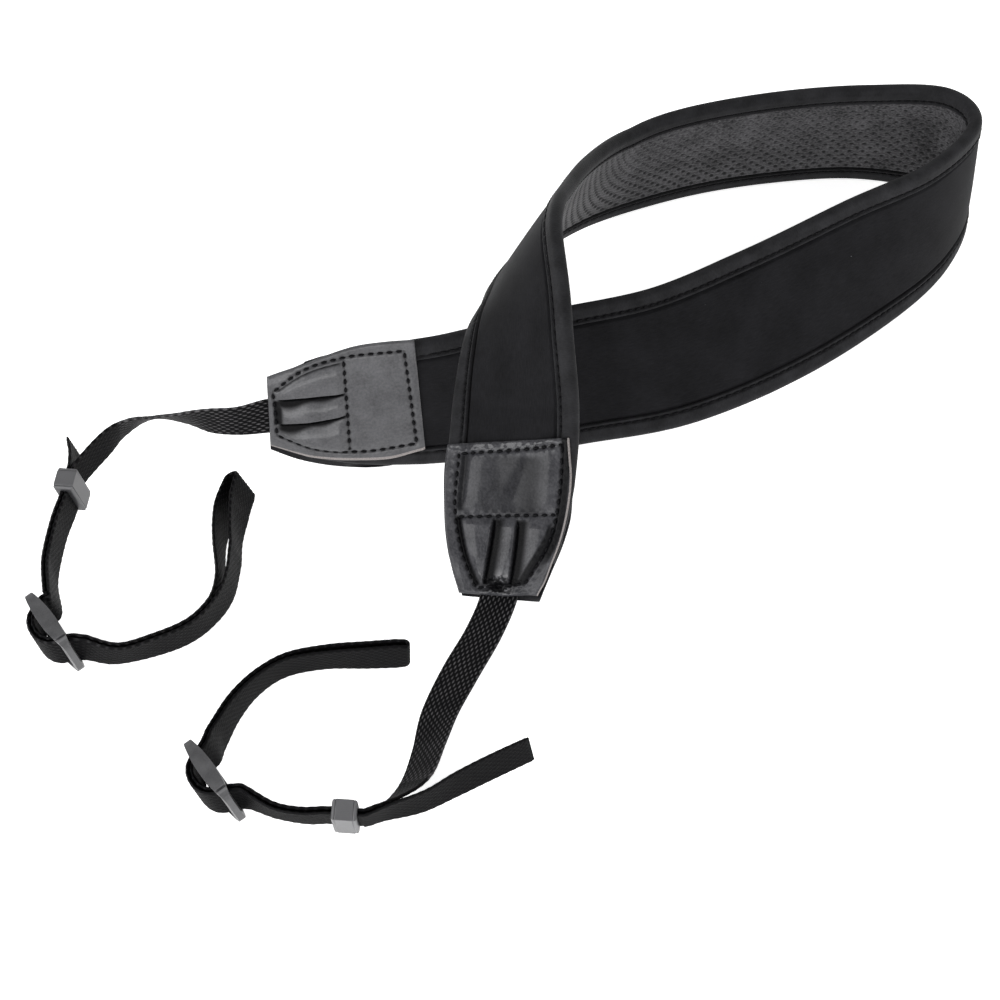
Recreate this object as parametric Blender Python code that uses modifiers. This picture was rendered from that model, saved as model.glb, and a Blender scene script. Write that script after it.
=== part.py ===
"""Camera neck strap, laid on a surface in a loop with its ends crossed.

A padded neck band runs from the left leather end along the front wall, round the right end, back along
the rear wall, and comes forward over itself to the front leather end.  It stands mostly on its lower edge.
A narrow woven strap leaves each leather end, runs through a keeper and a slider, folds back at a loop for
a camera's lug, and comes back through both to a free tail.

Every strip is a ribbon: a smooth path with a direction across it.  The path tables are in millimetres,
x to the right, y away from the front, z up, and "lean" is the tilt in degrees of the strip's top edge to
the left of the way that the path runs.  The model is in metres and stands on z = 0.
"""
import math

import bmesh
import bpy
from mathutils import Matrix, Vector

MM = 0.001

# ---------------------------------------------------------------- driving dimensions, millimetres
GAP = 0.3                  # between pieces that touch in the real strap
LAYOUT_CENTRE = (7.87, 7.19)   # middle of the whole layout, in the path tables' frame
FLOOR = -0.04              # height of its lowest point there

PAD_HALF = 22.5            # half of the neck band's width beside its leather ends
PAD_BACK_END = 12.0        # where the band ends inside a leather end, from that end's narrow edge
BINDING_FACE = 6.5         # how far a binding reaches in from the edge
BINDING_WALL = 1.1
BINDING_ROUND = 1.2        # of its folded edge
FOAM_EDGE_HALF = 1.0       # foam pressed thin under the bindings
EDGE_PRESS = 0.05
FOAM_CLEAR = 0.4           # between the raised foam and a binding's lip
FOAM_SLOPE = 1.8           # width of the foam's rise from there to its shoulder
FOAM_CROWN = 2.3           # foam's outer face at the middle
FOAM_SHOULDER = 2.0        # and at its shoulders
LINING_THICK = 0.8
BAND_SECTION_STEP = 8.0    # at most, between the band's cross-sections
BAND_TURN = 9.0            # degrees, at most, between them

TAB_LENGTH = 48.0
LEATHER = 1.2
LEAF_GAP = 0.25            # from each leaf's rim to the middle, where the two leaves meet
PUFF_LENGTH = 26.0         # from the narrow edge to the cross seam
PUFF_HEIGHT = 1.5          # of the leather between the sewn pleats
PUFF_FADE = 6.0            # length over which it settles to the cross seam
WEBBING_ROOM = 0.4         # between each leaf and the webbing it holds

INNER_SHIFTS = {"left": -1.6, "front": -1.4}   # of the inner leaf, to the band's upper edge, at the wide end
INNER_TRIM = 0.8           # the inner leaf is this much narrower at each side

WEB_WIDTH = 12.0
WEB_THICK = 1.2
WEB_IN_TAB = 9.0           # length of webbing sewn into a leather end
SEWN_SHIFTS = {"left": -1.4, "front": 0.0}     # of the webbing there, to the band's upper edge
LAYER = (WEB_THICK + GAP) / 2   # each layer of a doubled strap from the middle of the pair
WEB_SECTION_STEP = 6.0     # at most, between the webbing's cross-sections
SINGLE_TURN = 8.0          # degrees, at most, between them where it is single
DOUBLED_TURN = 12.0        # and where it is doubled
FOLD_TURNS = (30, 60, 90, 120, 150)   # degrees round a lug fold

KEEPER_LENGTH = 7.6        # along the strap
KEEPER_HEIGHT = 14.6
KEEPER_DEPTH = 6.4
KEEPER_BEVEL = 0.8
KEEPER_HOLE_HEIGHT = 12.6
KEEPER_RUN = 5.5           # straight strap either side of a keeper's middle

SLIDER_LENGTH = 26.7
SLIDER_HEIGHT = 15.6
SLIDER_CORNER = 3.0
SLIDER_MIDDLE = 5.0        # thickness of the lens at its middle
SLIDER_TIP = 2.0
TIP_BEVEL = 0.45
PLATE_EXCESS = 0.05
SLOT_NEAR = 2.9            # a slot's two ends, from the slider's middle
SLOT_FAR = 11.1
SLOT_HEIGHT = 12.9

# cross-sections of a leather end, from its narrow edge
TAB_STEPS = (0.0, 3.0, 7.0, 12.0, 17.0, 22.0, 26.0, 32.0, 40.0, TAB_LENGTH)

# how the band grows from a leather end's narrow edge to its middle
#   from_end  half  thickness_share
BAND_GROWTH = [
    (0.0, 12.0, 0.50),
    (7.0, 14.6, 0.52),
    (12.0, 16.6, 0.56),
    (17.0, 18.1, 0.62),
    (27.0, 20.2, 0.78),
    (36.0, 21.3, 0.92),
    (48.0, 22.1, 1.00),
    (62.0, PAD_HALF, 1.00),
    (110.0, 22.8, 1.00),
    (160.0, 23.5, 1.00),
    (240.0, 23.1, 1.00),
    (308.0, 22.6, 1.00),
]

# the outer leaves' two cut edges, from the middle of the band
#   from_end  upper  lower
LEAF_EDGES = {
    "left": [
        (0.0, 12.4, -11.5),
        (9.0, 15.8, -14.6),
        (18.5, 19.6, -16.7),
        (28.0, 22.5, -17.6),
        (38.0, 23.5, -17.7),
        (48.0, 23.4, -15.4),
    ],
    "front": [
        (0.0, 12.4, -12.5),
        (9.0, 15.6, -15.6),
        (18.5, 18.7, -18.3),
        (28.0, 20.6, -19.9),
        (38.0, 21.4, -21.1),
        (48.0, 20.3, -21.1),
    ],
}

# across a leaf, by share of its half width, and how far it puffs up there between its seams
#              across  puff
LEAF_COLUMNS = [
    (-1.0, 0.0),
    (-0.82, 0.0),
    (-0.68, 0.75),
    (-0.54, 1.0),
    (-0.38, 0.65),
    (-0.27, 0.0),
    (-0.12, 0.8),
    (0.0, 1.0),
    (0.12, 0.8),
    (0.27, 0.0),
    (0.38, 0.65),
    (0.54, 1.0),
    (0.68, 0.75),
    (0.82, 0.0),
    (1.0, 0.0),
]

# neck band, from the left leather end's narrow edge to the front one's
#      x       y      z     lean
BAND_PATH = [
    (-73.3, 17.5, 22.0, 18),
    (-26.1, 22.3, 21.7, 17),
    (0.1, 28.6, 21.3, 24),
    (24.2, 36.0, 20.5, 32),
    (55.6, 46.0, 19.8, 37),
    (88.3, 65.2, 20.1, 37),
    (118.6, 87.1, 21.6, 27),
    (144.0, 108.1, 23.1, 9),
    (157.4, 132.8, 23.1, -2),
    (150.4, 149.3, 22.7, 0),
    (123.0, 153.9, 22.9, 8),
    (92.3, 150.8, 23.0, 10),
    (62.0, 142.7, 23.1, 11),
    (37.0, 129.0, 24.2, 16),
    (21.4, 103.4, 34.9, 23),
    (11.6, 72.3, 49.5, 28),
    (6.4, 42.0, 62.4, 31),
    (5.1, 15.2, 57.8, 48),
    (4.2, -11.3, 37.3, 67),
    (-0.5, -48.8, 5.9, 81),
]

# left side: webbing from the leather end to the keeper
LEFT_FEED = [
    (-83.0, 14.6, 20.8, -2),
    (-92.0, 15.2, 20.3, 8),
    (-101.2, 17.3, 19.4, 34),
    (-110.5, 18.3, 18.6, 45),
    (-118.6, 15.0, 17.6, 22),
    (-124.6, 9.2, 16.2, 1),
]
LEFT_KEEPER = {"centre": (-134.5, -6.8, 11.6), "heading": -102.0, "pitch": -18.0, "lean": -9.0}
LEFT_LEG = [
    (-137.9, -22.0, 8.6, -9),
    (-139.4, -38.0, 7.3, -11),
]
LEFT_SLIDER = {"centre": (-135.7, -65.1, 8.3), "heading": -58.0, "lean": -18.0}
LEFT_LOOP = [
    (-116.5, -72.7, 6.8, -20),
    (-106.0, -69.4, 6.8, -16),
    (-95.4, -63.4, 6.7, -11),
    (-88.4, -54.7, 6.7, -2),
    (-85.1, -44.5, 6.7, 8),
    (-84.8, -33.1, 6.9, 13),
    (-85.2, -21.5, 7.0, 17),
    (-84.2, -10.7, 7.1, 27),
    (-82.2, -1.6, 7.3, 30),
]
LEFT_TAIL = [
    (-134.5, 3.7, 13.9, 10),
    (-135.0, 9.1, 15.1, 16),
]

# front side: webbing from the leather end to the keeper
FRONT_FEED = [
    (-5.1, -62.1, 4.3, 86),
    (-12.0, -77.5, 3.4, 88),
    (-17.9, -93.5, 3.6, 78),
    (-20.9, -108.4, 5.3, 62),
    (-24.5, -122.8, 6.9, 55),
    (-30.4, -131.6, 8.0, 40),
]
FRONT_KEEPER = {"centre": (-45.0, -139.0, 8.4), "heading": 175.0, "pitch": 0.0, "lean": 26.0}
FRONT_LEG = [
    (-57.5, -137.9, 7.5, 27),
    (-65.8, -135.8, 7.4, 26),
]
FRONT_SLIDER = {"centre": (-84.0, -125.0, 8.2), "heading": 120.5, "lean": 20.0}
FRONT_LOOP = [
    (-83.6, -104.8, 6.9, 10),
    (-79.6, -94.3, 6.7, 2),
    (-73.4, -84.6, 6.7, -8),
    (-64.8, -77.3, 6.7, -15),
    (-52.8, -74.0, 6.7, -17),
    (-40.2, -73.2, 6.7, -12),
    (-28.9, -72.4, 6.7, -9),
]
FRONT_TAIL = [
    (-32.9, -136.9, 7.9, -19),
    (-22.3, -131.9, 7.0, -10),
    (-13.2, -125.4, 6.7, -3),
    (-2.6, -118.4, 6.7, -1),
    (10.3, -110.5, 6.8, -2),
]

# the doubled strap's way through a slider: along it, out from its middle plane, and up its height
#     along   outward  up
SLIDER_ARCH = [
    (-11.3, -4.9, -1.3),
    (-9.2, -2.3, -0.3),
    (-7.6, 0.9, 0.0),
    (-5.9, 3.3, 0.0),
    (-3.2, 4.8, 0.0),
    (0.0, 5.3, 0.0),
    (3.2, 4.8, 0.0),
    (5.9, 3.3, 0.0),
    (7.6, 0.9, 0.0),
    (9.2, -2.3, -0.3),
    (11.3, -4.9, -1.3),
]

# how far each layer of a lug loop stands from the middle of the pair, at shares of the loop's length
#             share   extra
LEFT_SPREAD = [
    (0.0, 0.0),
    (0.45, 0.0),
    (0.58, 0.9),
    (0.70, 1.9),
    (0.88, 2.0),
    (1.0, 1.2),
]
FRONT_SPREAD = [
    (0.0, 0.0),
    (0.45, 0.0),
    (0.75, 0.35),
    (1.0, 0.35),
]

#             colour (linear)            roughness
FINISHES = {
    "neoprene": ((0.012, 0.012, 0.014), 0.85),
    "binding": ((0.020, 0.020, 0.023), 0.90),
    "mesh_lining": ((0.075, 0.070, 0.075), 0.80),
    "leather": ((0.055, 0.055, 0.060), 0.45),
    "webbing": ((0.010, 0.010, 0.011), 0.75),
    "moulded_plastic": ((0.115, 0.115, 0.120), 0.50),
}


# ---------------------------------------------------------------- ribbons
def spline_point(p0, p1, p2, p3, t):
    """Catmull-Rom between p1 and p2."""
    a = 2 * p1
    b = (p2 - p0) * t
    c = (2 * p0 - 5 * p1 + 4 * p2 - p3) * t * t
    d = (3 * p1 - p0 - 3 * p2 + p3) * t * t * t
    return (a + b + c + d) * 0.5


def blend_rows(rows, at):
    """Read a table whose first column is a position, at any position, straight between its rows."""
    if at <= rows[0][0]:
        return rows[0][1:]
    for low, high in zip(rows, rows[1:]):
        if at <= high[0]:
            share = (at - low[0]) / (high[0] - low[0])
            return tuple(p + (q - p) * share for p, q in zip(low[1:], high[1:]))
    return rows[-1][1:]


class Ribbon:
    """A smooth strip through knots, each a place on its middle line and a direction across it."""

    PER_SPAN = 24

    def __init__(self, knots):
        places = [place for place, across in knots]
        acrosses = [across for place, across in knots]
        places = [2 * places[0] - places[1]] + places + [2 * places[-1] - places[-2]]
        acrosses = [acrosses[0]] + acrosses + [acrosses[-1]]
        self.places = []
        self.acrosses = []
        for i in range(1, len(places) - 2):
            steps = self.PER_SPAN + (1 if i == len(places) - 3 else 0)
            for k in range(steps):
                t = k / self.PER_SPAN
                self.places.append(spline_point(*places[i - 1:i + 3], t))
                self.acrosses.append(spline_point(*acrosses[i - 1:i + 3], t))
        self.lengths = [0.0]
        for a, b in zip(self.places, self.places[1:]):
            self.lengths.append(self.lengths[-1] + (b - a).length)
        self.length = self.lengths[-1]

    def length_at_knot(self, knot):
        return self.lengths[knot * self.PER_SPAN]

    def at(self, s):
        """Middle, and the directions along, across and out of the ribbon, at a length along it."""
        i = 0
        while i < len(self.lengths) - 2 and self.lengths[i + 1] < s:
            i += 1
        share = (s - self.lengths[i]) / (self.lengths[i + 1] - self.lengths[i])
        middle = self.places[i].lerp(self.places[i + 1], share)
        low = max(i - 1, 0)
        high = min(i + 2, len(self.places) - 1)
        along = (self.places[high] - self.places[low]).normalized()
        across = self.acrosses[i].lerp(self.acrosses[i + 1], share)
        across = (across - along * across.dot(along)).normalized()
        return middle, along, across, along.cross(across)

    def stations(self, start, end, longest, sharpest):
        """Lengths for cross-sections: close together where the ribbon turns or twists."""
        limit = math.cos(math.radians(sharpest))
        chosen = [start]
        held = self.at(start)
        for s in self.lengths:
            if s <= start or s >= end - longest * 0.3:
                continue
            now = self.at(s)
            turned = min(now[1].dot(held[1]), now[2].dot(held[2])) < limit
            if turned or s - chosen[-1] >= longest:
                chosen.append(s)
                held = now
        return chosen + [end]


def lean_knots(rows):
    """Knots from rows of x, y, z and lean."""
    places = [Vector(row[:3]) for row in rows]
    knots = []
    for i, row in enumerate(rows):
        along = (places[min(i + 1, len(rows) - 1)] - places[max(i - 1, 0)]).normalized()
        knots.append((places[i], leaning(along, row[3])))
    return knots


def leaning(along, lean):
    """The upward direction across a strip that runs along, tilted to its left."""
    right = along.cross(Vector((0, 0, 1))).normalized()
    upright = right.cross(along)
    angle = math.radians(lean)
    return upright * math.cos(angle) - right * math.sin(angle)


# ---------------------------------------------------------------- meshes and materials
def finish(name):
    colour, roughness = FINISHES[name]
    material = bpy.data.materials.get(name)
    if material is None:
        material = bpy.data.materials.new(name)
        material.use_nodes = True
        shader = material.node_tree.nodes["Principled BSDF"]
        shader.inputs["Base Color"].default_value = (*colour, 1.0)
        shader.inputs["Roughness"].default_value = roughness
        shader.inputs["Metallic"].default_value = 0.0
    return material


def in_model(point):
    """From the path tables' millimetres to the model's metres, centred on the origin."""
    return Vector((point.x - LAYOUT_CENTRE[0], point.y - LAYOUT_CENTRE[1], point.z - FLOOR)) * MM


def new_object(name, mesh, material, collection):
    thing = bpy.data.objects.new(name, mesh)
    collection.objects.link(thing)
    mesh.materials.append(finish(material))
    return thing


def loft(name, rings, material, collection):
    """A closed solid through rings of equal count, in the tables' frame, capped at both ends."""
    shape = bmesh.new()
    loops = [[shape.verts.new(in_model(point)) for point in ring] for ring in rings]
    count = len(rings[0])
    for near, far in zip(loops, loops[1:]):
        for i in range(count):
            j = (i + 1) % count
            shape.faces.new((near[i], near[j], far[j], far[i]))
    shape.faces.new(loops[0])
    shape.faces.new(loops[-1])
    bmesh.ops.triangulate(shape, faces=shape.faces[:], quad_method="FIXED")
    bmesh.ops.recalc_face_normals(shape, faces=shape.faces[:])
    mesh = bpy.data.meshes.new(name)
    shape.to_mesh(mesh)
    shape.free()
    mesh.shade_smooth()
    mesh.set_sharp_from_angle(angle=math.radians(35))
    return new_object(name, mesh, material, collection)


def ring_at(frame, outline):
    """A ring from an outline of (across, out) pairs in millimetres."""
    middle, along, across, out = frame
    return [middle + across * u + out * n for u, n in outline]


# ---------------------------------------------------------------- neck band
def growth(band, s):
    """Half width and thickness share of the band at a length along it."""
    return blend_rows(BAND_GROWTH, min(s, band.length - s))


def foam_outline(half, share):
    edge = half - BINDING_WALL - GAP
    inset = half - BINDING_FACE - FOAM_CLEAR
    shoulder = inset - FOAM_SLOPE
    thin = FOAM_EDGE_HALF * share - EDGE_PRESS
    crown = FOAM_CROWN * share
    brow = FOAM_SHOULDER * share
    return [
        (-edge, -thin),
        (-edge, thin),
        (-inset, thin),
        (-shoulder, brow),
        (0.0, crown),
        (shoulder, brow),
        (inset, thin),
        (edge, thin),
        (edge, -thin),
        (inset, -thin),
        (0.0, -thin),
        (-inset, -thin),
    ]


def lining_outline(half, share):
    side = half - BINDING_FACE - FOAM_CLEAR
    top = -(FOAM_EDGE_HALF * share - EDGE_PRESS) - GAP
    back = top - LINING_THICK
    return [(side, top), (0.0, top), (-side, top), (-side, back), (0.0, back), (side, back)]


def binding_outline(half, share, side):
    """A folded strip round one edge; side is +1 at the upper edge and -1 at the lower."""
    inner = FOAM_EDGE_HALF * share - EDGE_PRESS + GAP
    outer = inner + BINDING_WALL
    lip = half - BINDING_FACE
    half_outline = [
        (lip, outer),
        (half - BINDING_ROUND, outer),
        (half, outer - BINDING_ROUND),
        (half, BINDING_ROUND - outer),
        (half - BINDING_ROUND, -outer),
        (lip, -outer),
        (lip, -inner),
        (half - BINDING_WALL, -inner),
        (half - BINDING_WALL, inner),
        (lip, inner),
    ]
    return [(u * side, n) for u, n in half_outline][::-side]


def build_band(band, collection):
    ends = [step for step in TAB_STEPS if step >= PAD_BACK_END]
    middle = band.stations(TAB_LENGTH, band.length - TAB_LENGTH, BAND_SECTION_STEP, BAND_TURN)
    stations = ends[:-1] + middle + [band.length - step for step in ends[-2::-1]]
    frames = [(band.at(s), growth(band, s)) for s in stations]
    pieces = [
        ("pad_body", foam_outline, (), "neoprene"),
        ("pad_lining", lining_outline, (), "mesh_lining"),
        ("binding_upper", binding_outline, (1,), "binding"),
        ("binding_lower", binding_outline, (-1,), "binding"),
    ]
    for name, outline, extra, material in pieces:
        rings = [ring_at(frame, outline(*size, *extra)) for frame, size in frames]
        loft(name, rings, material, collection)


# ---------------------------------------------------------------- leather ends
def leaf_outline(end, from_end, side):
    """One leather leaf's section; side is +1 on the outer face of the band and -1 on the lining's."""
    share = blend_rows(BAND_GROWTH, from_end)[1]
    upper, lower = blend_rows(LEAF_EDGES[end], from_end)
    half = (upper - lower) / 2
    centre = (upper + lower) / 2
    if side < 0:
        half -= INNER_TRIM
        centre = INNER_SHIFTS[end] * from_end / TAB_LENGTH
    over_band = FOAM_EDGE_HALF * share - EDGE_PRESS + GAP + BINDING_WALL + GAP
    over_webbing = WEB_THICK / 2 + WEBBING_ROOM
    closing = min(from_end / PAD_BACK_END, 1.0)
    base = over_webbing + (over_band - over_webbing) * closing
    rim = LEAF_GAP + (base - LEAF_GAP) * closing
    fade = min(max(PUFF_LENGTH - from_end, 0.0) / PUFF_FADE, 1.0) * (1 + closing) / 2
    inside = []
    outside = []
    for across, puff in LEAF_COLUMNS:
        rise = rim if abs(across) == 1.0 else base
        fold = PUFF_HEIGHT * puff * fade if side > 0 else 0.0
        u = centre + across * half
        inside.append((u, side * (rise + fold)))
        outside.append((u, side * (rise + fold + LEATHER)))
    return outside + inside[::-1]


def build_tab(band, end, collection):
    """The two leaves of one leather end; end is 'left' or 'front'."""
    for leaf, side in (("outer", 1), ("inner", -1)):
        rings = []
        for step in TAB_STEPS:
            s = step if end == "left" else band.length - step
            rings.append(ring_at(band.at(s), leaf_outline(end, step, side)))
        loft(end + "_tab_" + leaf, rings, "leather", collection)


# ---------------------------------------------------------------- hardware
def hardware_axes(spec):
    """Directions along, outward-left and up for a keeper or slider."""
    heading = math.radians(spec["heading"])
    pitch = math.radians(spec.get("pitch", 0.0))
    level = math.cos(pitch)
    along = Vector((math.cos(heading) * level, math.sin(heading) * level, math.sin(pitch)))
    up = leaning(along, spec["lean"])
    return along, up.cross(along), up


def placed(spec):
    along, left, up = hardware_axes(spec)
    matrix = Matrix((along, left, up)).transposed().to_4x4()
    matrix.translation = in_model(Vector(spec["centre"]))
    return matrix


def box_mesh(name, size, centre=(0, 0, 0)):
    shape = bmesh.new()
    bmesh.ops.create_cube(shape, size=1.0)
    for vert in shape.verts:
        vert.co = Vector([(c + v * s) * MM for v, s, c in zip(vert.co, size, centre)])
    mesh = bpy.data.meshes.new(name)
    shape.to_mesh(mesh)
    shape.free()
    return mesh


def cut(thing, name, size, centre, matrix, cutters):
    """Cut a box out of a piece; the box stays hidden in the cutters' collection."""
    cutter = bpy.data.objects.new(name, box_mesh(name, size, centre))
    cutter.hide_render = True
    cutter.display_type = "WIRE"
    cutter.matrix_world = matrix
    cutters.objects.link(cutter)
    boolean = thing.modifiers.new(name, "BOOLEAN")
    boolean.operation = "DIFFERENCE"
    boolean.solver = "EXACT"
    boolean.object = cutter


def build_keeper(name, spec, collection, cutters):
    matrix = placed(spec)
    mesh = box_mesh(name, (KEEPER_LENGTH, KEEPER_DEPTH, KEEPER_HEIGHT))
    keeper = new_object(name, mesh, "moulded_plastic", collection)
    keeper.matrix_world = matrix
    bevel = keeper.modifiers.new("rounded_edges", "BEVEL")
    bevel.width = KEEPER_BEVEL * MM
    bevel.segments = 1
    hole = (KEEPER_LENGTH * 2, 2 * (LAYER + WEB_THICK / 2 + GAP), KEEPER_HOLE_HEIGHT)
    cut(keeper, name + "_hole", hole, (0, 0, 0), matrix, cutters)


def lens_points():
    """The slider's section seen along the strap's width, a slim lens with blunt tips."""
    half = SLIDER_LENGTH / 2
    swell = (SLIDER_MIDDLE - SLIDER_TIP) / 2
    count = 7
    side = []
    for i in range(count):
        x = (half - TIP_BEVEL) * (2 * i / (count - 1) - 1)
        side.append((x, SLIDER_TIP / 2 + swell * (1 - (x / half) ** 2)))
    blunt = SLIDER_TIP / 2 - TIP_BEVEL
    right = [(half, blunt), (half, -blunt)]
    return side + right + [(x, -y) for x, y in side[::-1]] + [(-half, -blunt), (-half, blunt)]


def plate_points():
    """The slider's face, a rounded rectangle, a little long so that the lens sets its length."""
    half = SLIDER_LENGTH / 2 + PLATE_EXCESS
    high = SLIDER_HEIGHT / 2
    corners = []
    for quarter, (sx, sy) in enumerate(((1, 1), (-1, 1), (-1, -1), (1, -1))):
        for step in range(4):
            angle = math.radians(90 * quarter + 30 * step)
            x = sx * (half - SLIDER_CORNER) + SLIDER_CORNER * math.cos(angle)
            y = sy * (high - SLIDER_CORNER) + SLIDER_CORNER * math.sin(angle)
            corners.append((x, y))
    return corners


def outline_mesh(name, points, half_depth):
    """A flat outline, thickened by half_depth to each side, as a closed mesh."""
    curve = bpy.data.curves.new(name, "CURVE")
    curve.dimensions = "2D"
    curve.fill_mode = "BOTH"
    curve.extrude = half_depth * MM
    spline = curve.splines.new("POLY")
    spline.points.add(len(points) - 1)
    for point, (x, y) in zip(spline.points, points):
        point.co = (x * MM, y * MM, 0.0, 1.0)
    spline.use_cyclic_u = True
    guide = bpy.data.objects.new(name, curve)
    bpy.context.scene.collection.objects.link(guide)
    bpy.context.view_layer.update()
    evaluated = guide.evaluated_get(bpy.context.evaluated_depsgraph_get())
    mesh = bpy.data.meshes.new_from_object(evaluated)
    bpy.data.objects.remove(guide)
    shape = bmesh.new()
    shape.from_mesh(mesh)
    bmesh.ops.remove_doubles(shape, verts=shape.verts[:], dist=0.00001)
    bmesh.ops.recalc_face_normals(shape, faces=shape.faces[:])
    shape.to_mesh(mesh)
    shape.free()
    mesh.name = name
    return mesh


def build_slider(name, spec, collection, cutters):
    matrix = placed(spec)
    lens = outline_mesh(name, lens_points(), SLIDER_HEIGHT / 2)
    slider = new_object(name, lens, "moulded_plastic", collection)
    slider.matrix_world = matrix
    face = outline_mesh(name + "_plate", plate_points(), SLIDER_MIDDLE)
    plate = bpy.data.objects.new(name + "_plate", face)
    plate.matrix_world = matrix @ Matrix.Rotation(math.radians(90), 4, "X")
    plate.hide_render = True
    plate.display_type = "WIRE"
    cutters.objects.link(plate)
    corners = slider.modifiers.new("rounded_corners", "BOOLEAN")
    corners.operation = "INTERSECT"
    corners.solver = "EXACT"
    corners.object = plate
    for slot, side in (("_slot_near", -1), ("_slot_far", 1)):
        size = (SLOT_FAR - SLOT_NEAR, SLIDER_MIDDLE * 2, SLOT_HEIGHT)
        centre = (side * (SLOT_FAR + SLOT_NEAR) / 2, 0, 0)
        cut(slider, name + slot, size, centre, matrix, cutters)


# ---------------------------------------------------------------- webbing
def keeper_knots(spec):
    along, left, up = hardware_axes(spec)
    centre = Vector(spec["centre"])
    return [(centre + along * reach, up) for reach in (-KEEPER_RUN, 0.0, KEEPER_RUN)]


def slider_knots(spec, outward):
    """Knots of the pair's arch over the slider's bar; outward is +1 where it bulges to the left."""
    along, left, up = hardware_axes(spec)
    centre = Vector(spec["centre"])
    return [(centre + along * a + left * (o * outward) + up * u, up) for a, o, u in SLIDER_ARCH]


def pair_ribbon(keeper, leg, slider, loop, outward):
    """The middle of the doubled strap, from the keeper to the lug fold."""
    rows = keeper_knots(keeper)
    before = len(rows) + len(leg) + len(SLIDER_ARCH)
    arch = slider_knots(slider, outward)
    leg_knots = mixed_knots([rows[-1]], leg, [arch[0]])
    loop_knots = mixed_knots([arch[-1]], loop, [])
    return Ribbon(rows + leg_knots + arch + loop_knots), before - 1


def mixed_knots(before, rows, after):
    """Knots for table rows that run between fixed knots."""
    places = [p for p, a in before] + [Vector(r[:3]) for r in rows] + [p for p, a in after]
    first = len(before)
    knots = []
    for i, row in enumerate(rows, start=first):
        ahead = places[min(i + 1, len(places) - 1)]
        behind = places[max(i - 1, 0)]
        knots.append((places[i], leaning((ahead - behind).normalized(), row[3])))
    return knots


def shifted(knot_frame, offset):
    middle, along, across, out = knot_frame
    return middle + out * offset, across


def strap_rings(points):
    """Rings of the strap's flat section from (middle, across, out) triples."""
    rings = []
    for middle, across, out in points:
        wide = across * (WEB_WIDTH / 2)
        under = middle - out * (WEB_THICK / 2)
        over = middle + out * (WEB_THICK / 2)
        rings.append([under - wide, under + wide, over + wide, over - wide])
    return rings


def build_webbing(name, band, end, feed, pair, loop_start, tail, side, spread, collection):
    """One strap: out of the leather end, along the pair to the lug fold, and back to its tail.

    side is +1 where the first layer lies on the right of the pair's path.
    """
    sewn = [WEB_IN_TAB, 0.0] if end == "left" else [band.length - WEB_IN_TAB, band.length]
    sewn_knots = []
    for middle, along, across, out in map(band.at, sewn):
        sewn_knots.append((middle + across * SEWN_SHIFTS[end], across))
    first = [shifted(pair.at(s), side * LAYER) for s in (0.0, KEEPER_RUN)]
    back = [shifted(pair.at(s), -side * LAYER) for s in (KEEPER_RUN, 0.0)]
    feed_knots = sewn_knots + mixed_knots([sewn_knots[-1]], feed, [first[0]]) + first
    feed_ribbon = Ribbon(feed_knots)
    feed_end = feed_ribbon.length_at_knot(len(feed_knots) - 2)
    tail_knots = back + mixed_knots([back[-1]], tail, [])
    tail_ribbon = Ribbon(tail_knots)
    tail_start = tail_ribbon.length_at_knot(1)

    points = []
    for s in feed_ribbon.stations(0.0, feed_end, WEB_SECTION_STEP, SINGLE_TURN)[:-1]:
        middle, along, across, out = feed_ribbon.at(s)
        points.append((middle, across, out))
    pair_stations = pair.stations(0.0, pair.length, WEB_SECTION_STEP, DOUBLED_TURN)
    loop_length = pair.length - loop_start

    def half_gap(s):
        return LAYER + blend_rows(spread, (s - loop_start) / loop_length)[0]

    for s in pair_stations:
        middle, along, across, out = pair.at(s)
        points.append((middle + out * (side * half_gap(s)), across, out))
    middle, along, across, out = pair.at(pair.length)
    radius = half_gap(pair.length)
    for degrees in FOLD_TURNS:
        angle = math.radians(degrees)
        outward = out * (side * math.cos(angle)) + along * math.sin(angle)
        points.append((middle + outward * radius, across, outward * side))
    for s in pair_stations[::-1]:
        middle, along, across, out = pair.at(s)
        points.append((middle - out * (side * half_gap(s)), across, -out))
    for s in tail_ribbon.stations(tail_start, tail_ribbon.length, WEB_SECTION_STEP, SINGLE_TURN)[1:]:
        middle, along, across, out = tail_ribbon.at(s)
        points.append((middle, across, out))
    loft(name, strap_rings(points), "webbing", collection)


# ---------------------------------------------------------------- the whole strap
def build():
    for thing in list(bpy.data.objects):
        bpy.data.objects.remove(thing, do_unlink=True)
    parts = bpy.data.collections.new("camera_neck_strap")
    cutters = bpy.data.collections.new("cutters")
    bpy.context.scene.collection.children.link(parts)
    bpy.context.scene.collection.children.link(cutters)

    band = Ribbon(lean_knots(BAND_PATH))
    build_band(band, parts)
    build_tab(band, "left", parts)
    build_tab(band, "front", parts)
    build_keeper("left_keeper", LEFT_KEEPER, parts, cutters)
    build_keeper("front_keeper", FRONT_KEEPER, parts, cutters)
    build_slider("left_slider", LEFT_SLIDER, parts, cutters)
    build_slider("front_slider", FRONT_SLIDER, parts, cutters)

    pair, knot = pair_ribbon(LEFT_KEEPER, LEFT_LEG, LEFT_SLIDER, LEFT_LOOP, -1)
    build_webbing("left_webbing", band, "left", LEFT_FEED, pair, pair.length_at_knot(knot), LEFT_TAIL,
                  -1, LEFT_SPREAD, parts)
    pair, knot = pair_ribbon(FRONT_KEEPER, FRONT_LEG, FRONT_SLIDER, FRONT_LOOP, 1)
    build_webbing("front_webbing", band, "front", FRONT_FEED, pair, pair.length_at_knot(knot), FRONT_TAIL,
                  1, FRONT_SPREAD, parts)


build()
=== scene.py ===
import math

import bmesh
import bpy
import numpy as np
from mathutils import Matrix, Vector, noise


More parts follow.
